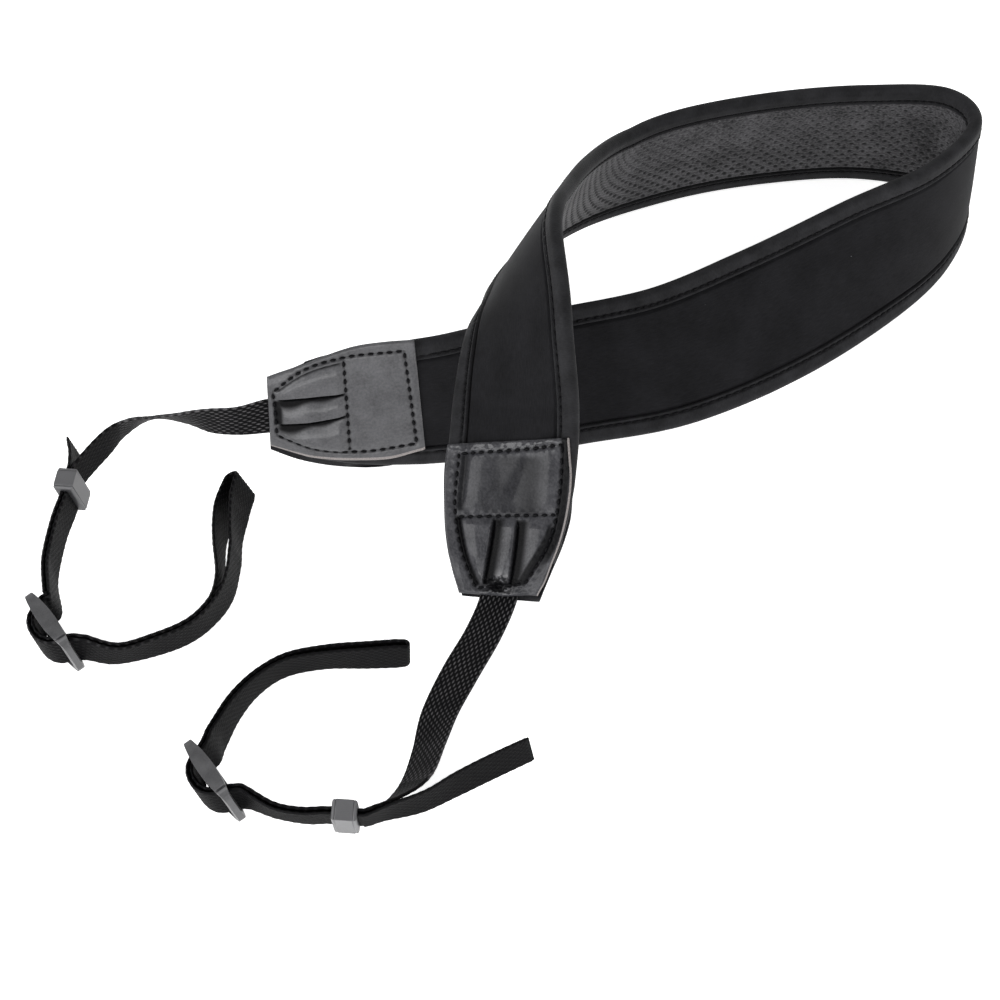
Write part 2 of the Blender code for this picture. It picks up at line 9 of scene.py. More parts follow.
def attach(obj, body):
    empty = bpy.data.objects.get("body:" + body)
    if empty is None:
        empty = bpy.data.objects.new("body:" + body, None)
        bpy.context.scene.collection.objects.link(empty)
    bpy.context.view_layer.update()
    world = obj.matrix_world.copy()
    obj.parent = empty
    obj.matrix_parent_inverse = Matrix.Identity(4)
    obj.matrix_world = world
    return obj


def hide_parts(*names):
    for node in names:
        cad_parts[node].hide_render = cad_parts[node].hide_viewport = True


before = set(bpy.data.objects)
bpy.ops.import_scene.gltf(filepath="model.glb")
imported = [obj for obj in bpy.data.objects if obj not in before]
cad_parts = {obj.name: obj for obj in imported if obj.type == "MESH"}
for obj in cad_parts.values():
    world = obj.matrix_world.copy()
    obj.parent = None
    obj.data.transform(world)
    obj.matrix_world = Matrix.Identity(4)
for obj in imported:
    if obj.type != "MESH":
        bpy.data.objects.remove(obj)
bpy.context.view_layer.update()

# ======== camera, table and studio light
# The strap lies on a plain white table and is seen from the front, 45 degrees above it.  A long lens from
# 1.3 m keeps the layout's proportions, and four softboxes and a pale room light it.
MM = 0.001
LAYOUT_CENTRE = np.array((7.87, 7.19, -0.04))  # of the path tables, which are in millimetres
CAMERA_ELEVATION = 45.0
CAMERA_DISTANCE = 1.3
CAMERA_LENS = 147.42
SENSOR_WIDTH = 36.0
TABLE_SIZE = 8.0
TABLE_GLOW = 0.82
ROOM_LIGHT = 0.36
#    name  azimuth  elevation  distance  width  height  power
SOFTBOXES = [
    ("front_softbox", -16, 19, 1.7, 1.9, 0.8, 22.0),
    ("right_softbox", 62, 28, 1.6, 0.9, 0.9, 9.0),
    ("left_softbox", -72, 28, 1.6, 0.9, 0.9, 14.0),
    ("back_softbox", 170, 40, 1.8, 1.6, 0.9, 6.0),
]


def put_facing(name, data, centre, azimuth, elevation, distance):
    """Adds a camera or a light at a distance from the centre, which it faces."""
    turn, tilt = math.radians(azimuth), math.radians(elevation)
    away = Vector((math.sin(turn) * math.cos(tilt), -math.cos(turn) * math.cos(tilt), math.sin(tilt)))
    thing = bpy.data.objects.new(name, data)
    thing.location = centre + away * distance
    thing.rotation_mode = "QUATERNION"
    thing.rotation_quaternion = (-away).to_track_quat("-Z", "Y")
    bpy.context.scene.collection.objects.link(thing)
    return thing


lens = bpy.data.cameras.new("camera")
lens.lens = CAMERA_LENS
lens.sensor_width = SENSOR_WIDTH
aim = Vector(-LAYOUT_CENTRE * MM)
bpy.context.scene.camera = put_facing("camera", lens, aim, 0.0, CAMERA_ELEVATION, CAMERA_DISTANCE)
bpy.context.scene.view_settings.view_transform = "Standard"
for name, azimuth, elevation, distance, width, height, power in SOFTBOXES:
    light = bpy.data.lights.new(name, "AREA")
    light.shape = "RECTANGLE"
    light.size = width
    light.size_y = height
    light.energy = power
    put_facing(name, light, Vector(), azimuth, elevation, distance)

world = bpy.data.worlds.new("studio")
world.use_nodes = True
room = world.node_tree.nodes["Background"].inputs
room["Color"].default_value = (1.0, 1.0, 1.0, 1.0)
room["Strength"].default_value = ROOM_LIGHT
bpy.context.scene.world = world

bpy.ops.object.select_all(action="DESELECT")
bpy.ops.mesh.primitive_plane_add(size=TABLE_SIZE, location=(0, 0, 0))
table = bpy.context.object
table.name = "table"
white = bpy.data.materials.new("white_table")
white.use_nodes = True
paint = white.node_tree.nodes["Principled BSDF"].inputs
paint["Base Color"].default_value = (0.95, 0.95, 0.95, 1.0)
paint["Roughness"].default_value = 0.9
paint["Emission Color"].default_value = (1.0, 1.0, 1.0, 1.0)
paint["Emission Strength"].default_value = TABLE_GLOW
table.data.materials.append(white)

# ======== neck pad
# A foam band in a smooth black jersey, bound along both edges.  It runs from the left leather end along
# the front, round the right end and back, and comes forward over itself to the front leather end.
# "lean" tilts the band's upper edge to the left of the way it runs.
#    x      y      z     lean
BAND_PATH = [
    (-73.3, 17.5, 22.0, 18), (-26.1, 22.3, 21.7, 17), (0.1, 28.6, 21.3, 24), (24.2, 36.0, 20.5, 32),
    (55.6, 46.0, 19.8, 37), (88.3, 65.2, 20.1, 37), (118.6, 87.1, 21.6, 27), (144.0, 108.1, 23.1, 9),
    (157.4, 132.8, 23.1, -2), (150.4, 149.3, 22.7, 0), (123.0, 153.9, 22.9, 8), (92.3, 150.8, 23.0, 10),
    (62.0, 142.7, 23.1, 11), (37.0, 129.0, 24.2, 16), (21.4, 103.4, 34.9, 23), (11.6, 72.3, 49.5, 28),
    (6.4, 42.0, 62.4, 31), (5.1, 15.2, 57.8, 48), (4.2, -11.3, 37.3, 67), (-0.5, -48.8, 5.9, 81),
]
# towards a leather end's narrow edge the band is cut narrower and pressed thinner
#    from_end  half_width  thickness_share
BAND_GROWTH = [
    (0.0, 12.0, 0.50), (7.0, 14.6, 0.52), (12.0, 16.6, 0.56), (17.0, 18.1, 0.62), (27.0, 20.2, 0.78),
    (36.0, 21.3, 0.92), (48.0, 22.1, 1.0), (62.0, 22.5, 1.0), (110.0, 22.8, 1.0), (160.0, 23.5, 1.0),
    (240.0, 23.1, 1.0), (308.0, 22.6, 1.0),
]
BAND_START = 12.0  # where the pad ends inside a leather end
BINDING_FACE = 6.5
FOAM_EDGE_HALF = 0.95  # foam under the bindings
FOAM_CROWN = 2.32  # outer face at the middle
FOAM_BROW = 1.95  # and beside the bindings' lips
EDGE_COVER = 1.4  # of binding and gap beyond the foam's edge
PAD_STEP = 0.9
PAD_GIRTH = 42.2  # across its face on its UV map
PAD_BACK_COLUMNS = 9
TIGHT_BEND = 279.0  # along the band, where its inner face is crushed
TIGHT_BEND_HALF = 13.0
# faint creases across the pad beside the crossing, where it bends over the front wall
#    along  slant  depth
PAD_CREASES = [(112.0, 0.12, 0.16), (118.5, 0.22, 0.22), (126.0, 0.15, 0.12), (560.0, -0.1, 0.14)]


def lengths_along(points):
    """The length of a line of points up to each of them."""
    return np.concatenate(([0.0], np.cumsum(np.linalg.norm(np.diff(points, axis=0), axis=1))))


def unit(vectors):
    return vectors / np.linalg.norm(vectors, axis=-1, keepdims=True)


def read(at, places, rows):
    """Straight between the rows of a table, column by column."""
    return np.stack([np.interp(at, places, column) for column in rows.T], axis=-1)


class Ribbon:
    """A smooth strip through knots, each a place on its middle line and a direction across it."""

    PER_SPAN = 96

    def __init__(self, knots):
        places, acrosses = (np.array(part, float) for part in zip(*knots))
        self.places = self.smooth(places, 2 * places[0] - places[1], 2 * places[-1] - places[-2])
        self.acrosses = self.smooth(acrosses, acrosses[0], acrosses[-1])
        self.lengths = lengths_along(self.places)
        self.length = self.lengths[-1]

    def smooth(self, rows, before, after):
        """Catmull-Rom through the rows."""
        rows = np.vstack((before, rows, after))
        t = (np.arange(self.PER_SPAN) / self.PER_SPAN)[:, None]
        spans = []
        for p0, p1, p2, p3 in zip(rows, rows[1:], rows[2:], rows[3:]):
            bend = (2 * p0 - 5 * p1 + 4 * p2 - p3) * t ** 2 + (3 * p1 - p0 - 3 * p2 + p3) * t ** 3
            spans.append((2 * p1 + (p2 - p0) * t + bend) / 2)
        return np.vstack(spans + [rows[-2]])

    def length_at_knot(self, knot):
        return self.lengths[knot * self.PER_SPAN]

    def frames(self, s):
        """Middle, along, across and out of the strip at lengths s."""
        middle = read(s, self.lengths, self.places)
        along = unit(read(s, self.lengths, np.gradient(self.places, self.lengths, axis=0)))
        across = read(s, self.lengths, self.acrosses)
        across = unit(across - along * (across * along).sum(axis=-1, keepdims=True))
        return middle, along, across, np.cross(along, across)


def leaning(along, lean):
    """The upward direction across a strip that runs along, tilted to its left."""
    right = unit(np.cross(along, (0, 0, 1)))
    return np.cross(right, along) * math.cos(math.radians(lean)) - right * math.sin(math.radians(lean))


def table_knots(rows, before=(), after=()):
    """Knots for table rows that run between places already known."""
    places = [*before, *(np.array(row[:3], float) for row in rows), *after]
    knots = []
    for i, row in enumerate(rows, start=len(before)):
        along = unit(places[min(i + 1, len(places) - 1)] - places[max(i - 1, 0)])
        knots.append((places[i], leaning(along, row[3])))
    return knots


def swell(x, low, high):
    """Rises smoothly from 0 at low to 1 at high."""
    t = np.clip((x - low) / (high - low), 0.0, 1.0)
    return t * t * (3 - 2 * t)


def dip(x, width):
    """A smooth ridge of height 1 at x = 0."""
    return np.exp(-(x / width) ** 2)


def ridges(x, rows):
    """Ridges, or valleys where below 0, from rows of place, width and height."""
    return sum(dip(x - place, width) * height for place, width, height in rows)


def mottle(x, y, size):
    """Soft random relief from -1 to 1 with features of that size, in millimetres."""
    places = np.stack(np.broadcast_arrays(x / size, y / size), axis=-1)
    made = [noise.fractal(Vector((*place, 0.0)), 1.0, 2.0, 2) for place in places.reshape(-1, 2)]
    return np.array(made).reshape(places.shape[:-1])


def faces_between(count, around):
    """Faces between rings of points that are numbered ring by ring."""
    row = np.arange(count - 1)[:, None] * around
    one = row + np.arange(around)
    two = row + (np.arange(around) + 1) % around
    return np.stack((one, two, two + around, one + around), axis=-1).reshape(-1, 4)


def add_mesh(name, points, faces, materials):
    """A new object through points in the tables' millimetres."""
    mesh = bpy.data.meshes.new(name)
    mesh.from_pydata(((points - LAYOUT_CENTRE).reshape(-1, 3) * MM).tolist(), [], faces)
    for material in materials:
        mesh.materials.append(material)
    thing = bpy.data.objects.new(name, mesh)
    bpy.context.scene.collection.objects.link(thing)
    return thing


def tube(name, rings, lengths, girths, materials, sides=None, sharp=60.0, tint=None, cap_picks=(0, 0)):
    """A closed mesh through rings of points in the tables' millimetres.

    Its UV map holds millimetres along and round it.  sides picks the material of each face round a ring,
    cap_picks those of the two end faces, and each point's painted light and shade is kept for the material.
    """
    count, around = rings.shape[:2]
    quads = faces_between(count, around)
    caps = [np.arange(around)[::-1], np.arange(around) + (count - 1) * around]
    spans = lengths[:-1, None], lengths[1:, None], girths[:-1], girths[1:]
    low, high, near, far = np.broadcast_arrays(*spans)
    corners = np.stack((low, near, low, far, high, far, high, near), axis=-1).reshape(-1, 4, 2)
    centred = rings.reshape(-1, 3) - LAYOUT_CENTRE
    a, b, c, d = (centred[quads[:, k]] for k in range(4))
    inside_out = (np.cross(c - a, d - b) * (a + b + c + d)).sum() < 0
    if inside_out:
        quads, corners = quads[:, ::-1], corners[:, ::-1]
        caps = [cap[::-1] for cap in caps]
    thing = add_mesh(name, rings, quads.tolist() + [cap.tolist() for cap in caps], materials)
    mesh = thing.data
    uv = mesh.uv_layers.new(name="UVMap")
    ends = np.repeat([lengths[0], 0.0, lengths[-1], 0.0], around).reshape(2, 2, around).swapaxes(1, 2)
    uv.data.foreach_set("uv", np.concatenate((corners.ravel(), ends.ravel())).astype(np.float32))
    if sides is not None:
        picks = np.concatenate((np.tile(sides, count - 1), cap_picks))
        mesh.polygons.foreach_set("material_index", picks.astype(np.int32))
    if tint is not None:
        kept = mesh.attributes.new("tint", "FLOAT", "POINT")
        kept.data.foreach_set("value", tint.ravel().astype(np.float32))
    mesh.update()
    mesh.shade_smooth()
    mesh.set_sharp_from_angle(angle=math.radians(sharp))
    return thing


def girths_round(face, columns, gap, closing):
    """Millimetres round a piece, for its UV map: of its face, of as wide a back and where it closes."""
    start = face[-1] + gap
    stop = start + face[-1] - face[0]
    return np.concatenate((face, np.linspace(start, stop, columns), [stop + closing]))


def lay(frames, across, out):
    """Points at distances across and out of a strip, for each of its frames."""
    middle, along, sideways, outward = (part[:, None] for part in frames)
    return middle + sideways * across[..., None] + outward * out[..., None]


class Value:
    """A number in a material's nodes; arithmetic on it adds Math nodes."""

    def __init__(self, finish, socket):
        self.finish = finish
        self.socket = socket

    def output(self, number):
        """Another output of the same node."""
        return Value(self.finish, self.socket.node.outputs[number])

    def maths(self, operation, first, second=0.0):
        return self.finish.node("Math", {"operation": operation}, {0: first, 1: second})

    def __add__(self, other):
        return self.maths("ADD", self, other)

    def __sub__(self, other):
        return self.maths("SUBTRACT", self, other)

    def __rsub__(self, other):
        return self.maths("SUBTRACT", other, self)

    def __mul__(self, other):
        return self.maths("MULTIPLY", self, other)

    __radd__ = __add__
    __rmul__ = __mul__


class Finish:
    """A material whose nodes are added by calls."""

    def __init__(self, name, **constants):
        self.material = bpy.data.materials.new(name)
        self.material.use_nodes = True
        self.tree = self.material.node_tree
        self.feed(**constants)

    def feed(self, **inputs):
        """Sets or links the shader's inputs, with _ for a space in their names."""
        shader = self.tree.nodes["Principled BSDF"]
        self.fill(shader, {socket.replace("_", " "): value for socket, value in inputs.items()})
        return self.material

    def fill(self, node, inputs):
        for socket, value in inputs.items():
            if isinstance(value, Value):
                self.tree.links.new(value.socket, node.inputs[socket])
            else:
                node.inputs[socket].default_value = value

    def node(self, kind, settings, inputs, output=0):
        made = self.tree.nodes.new("ShaderNode" + kind)
        for setting, value in settings.items():
            if setting == "stops":
                while len(made.color_ramp.elements) < len(value):
                    made.color_ramp.elements.new(0.5)
                for element, (place, grey) in zip(made.color_ramp.elements, value):
                    element.position = place
                    element.color = (grey, grey, grey, 1.0)
            else:
                setattr(made, setting, value)
        self.fill(made, inputs)
        return Value(self, made.outputs[output])

    def place(self, stretch=(1.0, 1.0, 1.0), source="UV"):
        """The piece's UV map, in millimetres, or its Object coordinates, in metres."""
        return self.node("Mapping", {}, {"Vector": self.node("TexCoord", {}, {}, source), "Scale": stretch})

    def along_across(self):
        """Millimetres along and round the piece, from its UV map."""
        along = self.node("SeparateXYZ", {}, {"Vector": self.place()})
        return along, along.output(1)

    def noise(self, scale, detail, stretch=(1.0, 1.0, 1.0), source="UV"):
        where = self.place(stretch, source)
        return self.node("TexNoise", {}, {"Vector": where, "Scale": scale, "Detail": detail})

    def cells(self, scale):
        return self.node("TexVoronoi", {}, {"Vector": self.place(), "Scale": scale})

    def ramp(self, value, *stops):
        return self.node("ValToRGB", {"stops": stops}, {"Fac": value})

    def mix(self, share, first, second):
        """Two colours, or links to colours, mixed."""
        first, second = (part + (1.0,) if isinstance(part, tuple) else part for part in (first, second))
        return self.node("Mix", {"data_type": "RGBA"}, {0: share, 6: first, 7: second}, 2)

    def shades(self, value, low, high, dark, light):
        """A colour that goes from dark to light as the value goes from low to high."""
        return self.mix(self.ramp(value, (low, 0.0), (high, 1.0)), dark, light)

    def tint(self):
        """The painted light and shade kept at each point of the mesh."""
        return self.node("Attribute", {"attribute_name": "tint"}, {}, "Fac")

    def bump(self, height, depth, **under):
        """Relief of a depth in millimetres, over another bump if one is given as Normal."""
        return self.node("Bump", {}, {"Height": height, "Strength": 1.0, "Distance": depth * MM, **under})


def jersey():
    """Smooth black knitted cloth: fine streaks along the band, soft mottling and a few specks of lint."""
    finish = Finish("neoprene_jersey", Sheen_Weight=0.02, Sheen_Roughness=0.5, Specular_IOR_Level=0.10)
    cloud = finish.noise(0.07, 4.0)
    streaks = finish.noise(1.0, 3.0, (0.35, 3.2, 1.0))
    knit = finish.noise(2.6, 1.0, (1.0, 0.8, 1.0))
    light = cloud * 0.5 + streaks * 0.5
    cloth = finish.shades(light, 0.35, 0.65, (0.003, 0.003, 0.0036), (0.01, 0.0099, 0.0115))
    cell = finish.cells(0.16)
    speck = finish.ramp(cell, (0.0, 1.0), (0.022, 0.8), (0.03, 0.0))
    chosen = finish.ramp(cell.output(1), (0.0, 0.0), (0.62, 0.0), (0.7, 1.0))
    colour = finish.mix(speck * chosen * 0.5, cloth, (0.30, 0.30, 0.32))
    relief = finish.bump(streaks * 0.6 + knit * 0.4, 0.10)
    return finish.feed(Base_Color=colour, Roughness=streaks * 0.12 + 0.72, Normal=relief)


band = Ribbon(table_knots(BAND_PATH))
growth_at, half_widths, thickness_shares = np.array(BAND_GROWTH).T


def band_size(s):
    """Columns of the band's half width and thickness share at lengths s along it."""
    from_end = np.minimum(s, band.length - s)[:, None]
    return np.interp(from_end, growth_at, half_widths), np.interp(from_end, growth_at, thickness_shares)


def tight_bend(s):
    """How strongly the cloth is crushed at lengths s, inside the tight bend at the right end."""
    return dip(s - TIGHT_BEND, TIGHT_BEND_HALF)


pad_s = np.arange(BAND_START, band.length - BAND_START, PAD_STEP)
frames = band.frames(pad_s)
half, share = band_size(pad_s)
edge = half - EDGE_COVER
inner = half - BINDING_FACE - 0.35
face = np.concatenate((np.linspace(-1.0, -0.79, 5), np.linspace(-0.775, 0.775, 58),
                       np.linspace(0.79, 1.0, 5)))
u = edge * face
crown = FOAM_BROW + (FOAM_CROWN - FOAM_BROW) * (1 - (u / inner) ** 2)
raised = 1 - swell(np.abs(u), inner - 0.55, inner + 0.1)
n = (FOAM_EDGE_HALF + (crown - FOAM_EDGE_HALF) * raised) * share
n = n + mottle(pad_s[:, None], u, 26.0) * 0.22 * raised
for crease, slant, depth in PAD_CREASES:
    n = n - dip(pad_s[:, None] - crease + slant * u, 1.5) * depth * raised
back = lay(frames, edge * np.linspace(1.0, -1.0, PAD_BACK_COLUMNS), -FOAM_EDGE_HALF * share)
around = girths_round(face * (PAD_GIRTH / 2), PAD_BACK_COLUMNS, 0.0, 1.0)
neck_pad = tube("neck_pad", np.concatenate((lay(frames, u, n), back), axis=1), pad_s, around, [jersey()])
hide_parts("pad_body")
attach(neck_pad, "root")

# ======== mesh lining
# The pad's inner face is a grey knitted mesh that grips the neck: rows of small oblong holes between
# knobbly threads, laid like bricks a little out of square.
LINING_BACK = 1.27  # inside the pad
LINING_FACE = 2.0
COLUMN_PITCH = 2.25  # along the strap
HOLE_PITCH = 3.65  # across it, in one column
HOLE_LONG = 0.78
HOLE_WIDE = 0.52
MESH_SKEW = 0.10
LINING_GIRTH = 31.7  # across its face on its UV map
LINING_COLUMNS = 76
LINING_BACK_COLUMNS = 5


def lining_relief(s, u):
    """Depth of the mesh's holes and height of its threads, in millimetres."""
    place = (s + MESH_SKEW * u) / COLUMN_PITCH
    column = np.round(place)
    x = (place - column) * COLUMN_PITCH
    y = u / HOLE_PITCH + 0.5 * (column % 2)
    y = (y - np.round(y)) * HOLE_PITCH
    return 0.14 * dip(np.abs(y) - HOLE_PITCH / 4, 0.55) - 0.55 * dip(x, HOLE_LONG) * dip(y, HOLE_WIDE)


def mesh_cloth():
    """Charcoal knit: dark in its holes, paler on its threads, with a fine yarn grain."""
    finish = Finish("mesh_lining", Sheen_Weight=0.10, Sheen_Roughness=0.4, Specular_IOR_Level=0.3)
    along, across = finish.along_across()
    place = (along + across * MESH_SKEW) * (1 / COLUMN_PITCH)
    column = place.maths("ROUND", place)
    x = (place - column) * (COLUMN_PITCH / HOLE_LONG)
    shifted = across * (1 / HOLE_PITCH) + column.maths("PINGPONG", column, 1.0) * 0.5
    y = (shifted - shifted.maths("ROUND", shifted)) * (HOLE_PITCH / HOLE_WIDE)
    hole = finish.ramp(x * x + y * y, (0.0, 1.0), (0.55, 0.95), (1.0, 0.0))
    yarn = finish.noise(1.5, 3.0, (0.7, 1.6, 1.0))
    light = finish.noise(0.10, 4.0) * 0.35 + yarn * 0.65
    body = finish.shades(light, 0.40, 0.61, (0.006, 0.006, 0.007), (0.074, 0.072, 0.077))
    colour = finish.mix(hole * 0.9, body, (0.004, 0.004, 0.005))
    return finish.feed(Base_Color=colour, Roughness=yarn * 0.2 + 0.55, Normal=finish.bump(yarn, 0.14))


lining_s = np.arange(BAND_START, band.length - BAND_START, COLUMN_PITCH / 4)
frames = band.frames(lining_s)
half, share = band_size(lining_s)
s = lining_s[:, None]
edge = half - BINDING_FACE - 0.15
face = np.linspace(-1.0, 1.0, LINING_COLUMNS)
u = edge * face
fade = 1 - swell(np.abs(u), edge - 0.5, edge)
n = LINING_FACE + (lining_relief(s, u) - 0.05) * fade - 0.35 * (1 - fade)
n = n + 0.16 * tight_bend(s) * np.cos(2 * np.pi * s / 3.1 + 0.4 * np.sin(u / 5.0))
back = lay(frames, edge * np.linspace(1.0, -1.0, LINING_BACK_COLUMNS), -LINING_BACK * share)
rings = np.concatenate((lay(frames, u, -n * share), back), axis=1)
around = girths_round(face * (LINING_GIRTH / 2), LINING_BACK_COLUMNS, 24.15, 0.3)
lining = tube("pad_lining_mesh", rings, lining_s, around, [mesh_cloth()])
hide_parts("pad_lining")
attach(lining, "root")

# ======== bindings
# A woven tape is folded round each edge of the pad and sewn through with a black thread, which pulls
# the tape into a valley beside its lip.
BINDING_WALL = 1.1
UNDER_BINDING = 0.27  # gap between the tape's inside and the foam
STITCH_LINE = 5.05  # from the fold
STITCH_PITCH = 2.9
STITCH_LENGTH = 2.0
STITCH_START = 52.0  # where the leather ends begin to cover them
STITCH_SHIFT = 0.3  # from the valley's deepest place to a stitch's start
STITCH_SUNK = 0.32  # under the tape's face
STITCH_LIFT = 0.18
FULL_RING = 300  # a ring of the tape in the full-width stretch, which gives its girth
FOLD_ROUND = 2.3
# relief beside the thread: place from the fold, width, height, and what a stitch's pull adds to that
BINDING_RELIEF = [(STITCH_LINE, 0.48, -0.30, -0.36), (5.95, 0.38, 0.14, -0.10), (3.9, 0.8, 0.05, -0.07)]
LIP = 6.2  # where the tape's face begins to drop to its lip
LIP_DROP = 0.75
THREAD_SIDES = 6
THREAD_RADIUS = 0.38
#    share of its length, share of its radius, share of its lift
THREAD_RINGS = [(0.0, 0.35, -0.6), (0.22, 1.0, 0.55), (0.5, 1.0, 1.0), (0.78, 1.0, 0.55), (1.0, 0.35, -0.6)]


def wave(s, pitch):
    """Goes from 1 to 0 and back in each pitch."""
    return 0.5 + 0.5 * np.cos(2 * np.pi * s / pitch)


def binding_face(w, s, wall):
    """Height of the tape's face over the band's middle, at w from its fold and s along it."""
    pull = wave(s, STITCH_PITCH)
    face = wall * np.sqrt(np.clip(1 - (1 - np.minimum(w / FOLD_ROUND, 1.0)) ** 2, 0.0, 1.0))
    for place, width, height, pulled in BINDING_RELIEF:
        face = face + dip(w - place, width) * (height + pulled * pull)
    return face - swell(w, LIP, BINDING_FACE) * LIP_DROP


def tape():
    """Matte black folded tape with a fine crossways weave, and painted shade by its stitches and lip."""
    finish = Finish("binding_tape", Sheen_Weight=0.04, Sheen_Roughness=0.45, Specular_IOR_Level=0.14)
    threads = finish.noise(1.6, 2.0, (2.4, 0.5, 1.0))
    light = finish.noise(0.16, 4.0) * 0.6 + threads * 0.4
    cloth = finish.shades(light, 0.36, 0.64, (0.0055, 0.0055, 0.0063), (0.0175, 0.0175, 0.0195))
    colour = finish.mix(finish.tint(), cloth, (0.0015, 0.0015, 0.0018))
    return finish.feed(Base_Color=colour, Roughness=threads * 0.15 + 0.65, Normal=finish.bump(threads, 0.10))


def sewing_thread():
    """Twisted black polyester thread."""
    finish = Finish("sewing_thread", Specular_IOR_Level=0.08)
    twist = finish.noise(3000.0, 1.0, source="Object")
    colour = finish.mix(twist, (0.0015, 0.0015, 0.0020), (0.0060, 0.0060, 0.0070))
    return finish.feed(Base_Color=colour, Roughness=twist * 0.2 + 0.45)


def stitches(name, starts, stops, lift, radius):
    """Short thread lengths from starts to stops, rising by lift at their middle, as one mesh."""
    up = unit(lift)
    out = np.cross(unit(stops - starts), up)
    turn = (2 * np.pi * np.arange(THREAD_SIDES) / THREAD_SIDES)[:, None]
    spokes = out[:, None] * np.cos(turn) + up[:, None] * np.sin(turn)
    rings = []
    for step, thick, rise in THREAD_RINGS:
        centre = starts + (stops - starts) * step + lift * rise
        rings.append(centre[:, None] + spokes * (radius * thick))
    first = np.arange(len(starts))[:, None] * len(rings) * THREAD_SIDES
    quads = (first[:, None] + faces_between(len(rings), THREAD_SIDES)).reshape(-1, 4)
    cap = np.arange(THREAD_SIDES)
    caps = np.concatenate((first + cap[::-1], first + (len(rings) - 1) * THREAD_SIDES + cap))
    thing = add_mesh(name, np.stack(rings, axis=1), quads.tolist() + caps.tolist(), [black_thread])
    fixed = bmesh.new()
    fixed.from_mesh(thing.data)
    bmesh.ops.recalc_face_normals(fixed, faces=fixed.faces[:])
    fixed.to_mesh(thing.data)
    fixed.free()
    thing.data.shade_smooth()
    return thing


black_tape = tape()
black_thread = sewing_thread()
binding_s = np.arange(BAND_START, band.length - BAND_START, STITCH_PITCH / 4)
s = binding_s[:, None]
frames = band.frames(binding_s)
half, share = band_size(binding_s)
inside = FOAM_EDGE_HALF * share + UNDER_BINDING
# places round the tape, measured from its fold: w_out over one outer face, w_in inside
w_out = np.concatenate(([6.5, 6.45, 6.3], np.arange(6.1, 4.4, -0.2), np.arange(4.2, 2.4, -0.45),
                        [2.1, 1.6, 1.1, 0.7, 0.35, 0.12]))
w_round = np.concatenate((w_out, [0.0], w_out[::-1]))
flip = np.concatenate((np.ones(len(w_out)), [0.0], -np.ones(len(w_out))))
w_in = np.array([6.45, 4.4, 2.4, 1.15, 1.15, 2.4, 4.4, 6.45])
flip_in = np.array([-1, -1, -1, -1, 1, 1, 1, 1])
ripple = 0.14 * tight_bend(s) * np.cos(2 * np.pi * s / 3.4)
outer = flip * binding_face(w_round, s, inside + BINDING_WALL) + np.where(flip < 0, ripple, 0.0)
shadow = dip(w_round - STITCH_LINE, 0.5) * (0.45 + 0.5 * wave(s, STITCH_PITCH))
shadow = np.clip(shadow + dip(w_round - BINDING_FACE, 0.35) * 0.6, 0.0, 1.0)
tint = np.concatenate((shadow, np.zeros((len(s), len(w_in)))), axis=1)
first = np.round(np.arange(STITCH_START, band.length - STITCH_START, STITCH_PITCH) / STITCH_PITCH)
first = first * STITCH_PITCH + STITCH_SHIFT
for node, side in (("binding_upper", 1), ("binding_lower", -1)):
    under = lay(frames, side * (half - w_in), flip_in * inside)
    rings = np.concatenate((lay(frames, side * (half - w_round), outer), under), axis=1)
    around = lengths_along(np.vstack((rings[FULL_RING], rings[FULL_RING][:1])))
    binding = tube(node + "_tape", rings, binding_s, around, [black_tape], sharp=75.0, tint=tint)
    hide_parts(node)
    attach(binding, "root")

    thread_at = []
    for places in (first, first + STITCH_LENGTH):
        seam_half, seam_share = band_size(places)
        height = FOAM_EDGE_HALF * seam_share + UNDER_BINDING + BINDING_WALL - STITCH_SUNK
        line = side * (seam_half - STITCH_LINE)
        both = [lay(band.frames(places), line, face * height)[:, 0] for face in (1, -1)]
        thread_at.append(np.concatenate(both))
    out = band.frames(first)[3] * STITCH_LIFT
    sewn = stitches(node + "_stitches", *thread_at, np.concatenate((out, -out)), THREAD_RADIUS)
    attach(sewn, "root")

# ======== leather ends
# Each end of the pad is closed by two leaves of grey leather with raw cut edges, sewn together all round.
# A cross seam holds the outer leaf, and from there its leather laps over itself in two knife pleats and is
# gathered under the seam at the narrow edge, where the woven strap goes in.
TAB_LENGTH = 48.0
LEAF_GIRTH = 42.0  # across a leaf's face on its UV map
LEATHER = 1.2
PLEAT_HEIGHT = 1.5
PLEAT_SLIT = 0.6  # depth of the line under each pleat's fold
FRONT_HOLLOW = 4.3  # width of the front pleats' hollows
FIRST_HOLLOW = {"left": (1.2, 0.3), "front": (2.6, 1.0)}  # width and painted shade of that hollow at the top seam
# the front leaf's bends and their shadows past the pleats: lap, width and height or darkness
FRONT_BENDS = [(8.5, 4.0, 0.5), (14.2, 1.3, -0.55), (-14.0, 2.5, 0.4)]
FRONT_SHADOWS = [(-8.5, 5.0, 0.55), (2.0, 8.0, 0.42)]
PLEATS_END = 25.0  # from_end of the cross seam
SEAM_PITCH = 3.0
SEAM_STITCH = 1.95
SEAM_RADIUS = 0.37
SEAM_START = 0.55  # from a seam's end to its first stitch
SEAM_RAISED = 0.12  # of the stitches' ends, above the leather's pulled-in face
SEAM_LIFT = 0.26
INNER_INSET = 0.8  # how much narrower each half of the inner leaf is
BACK_COLUMNS = 15
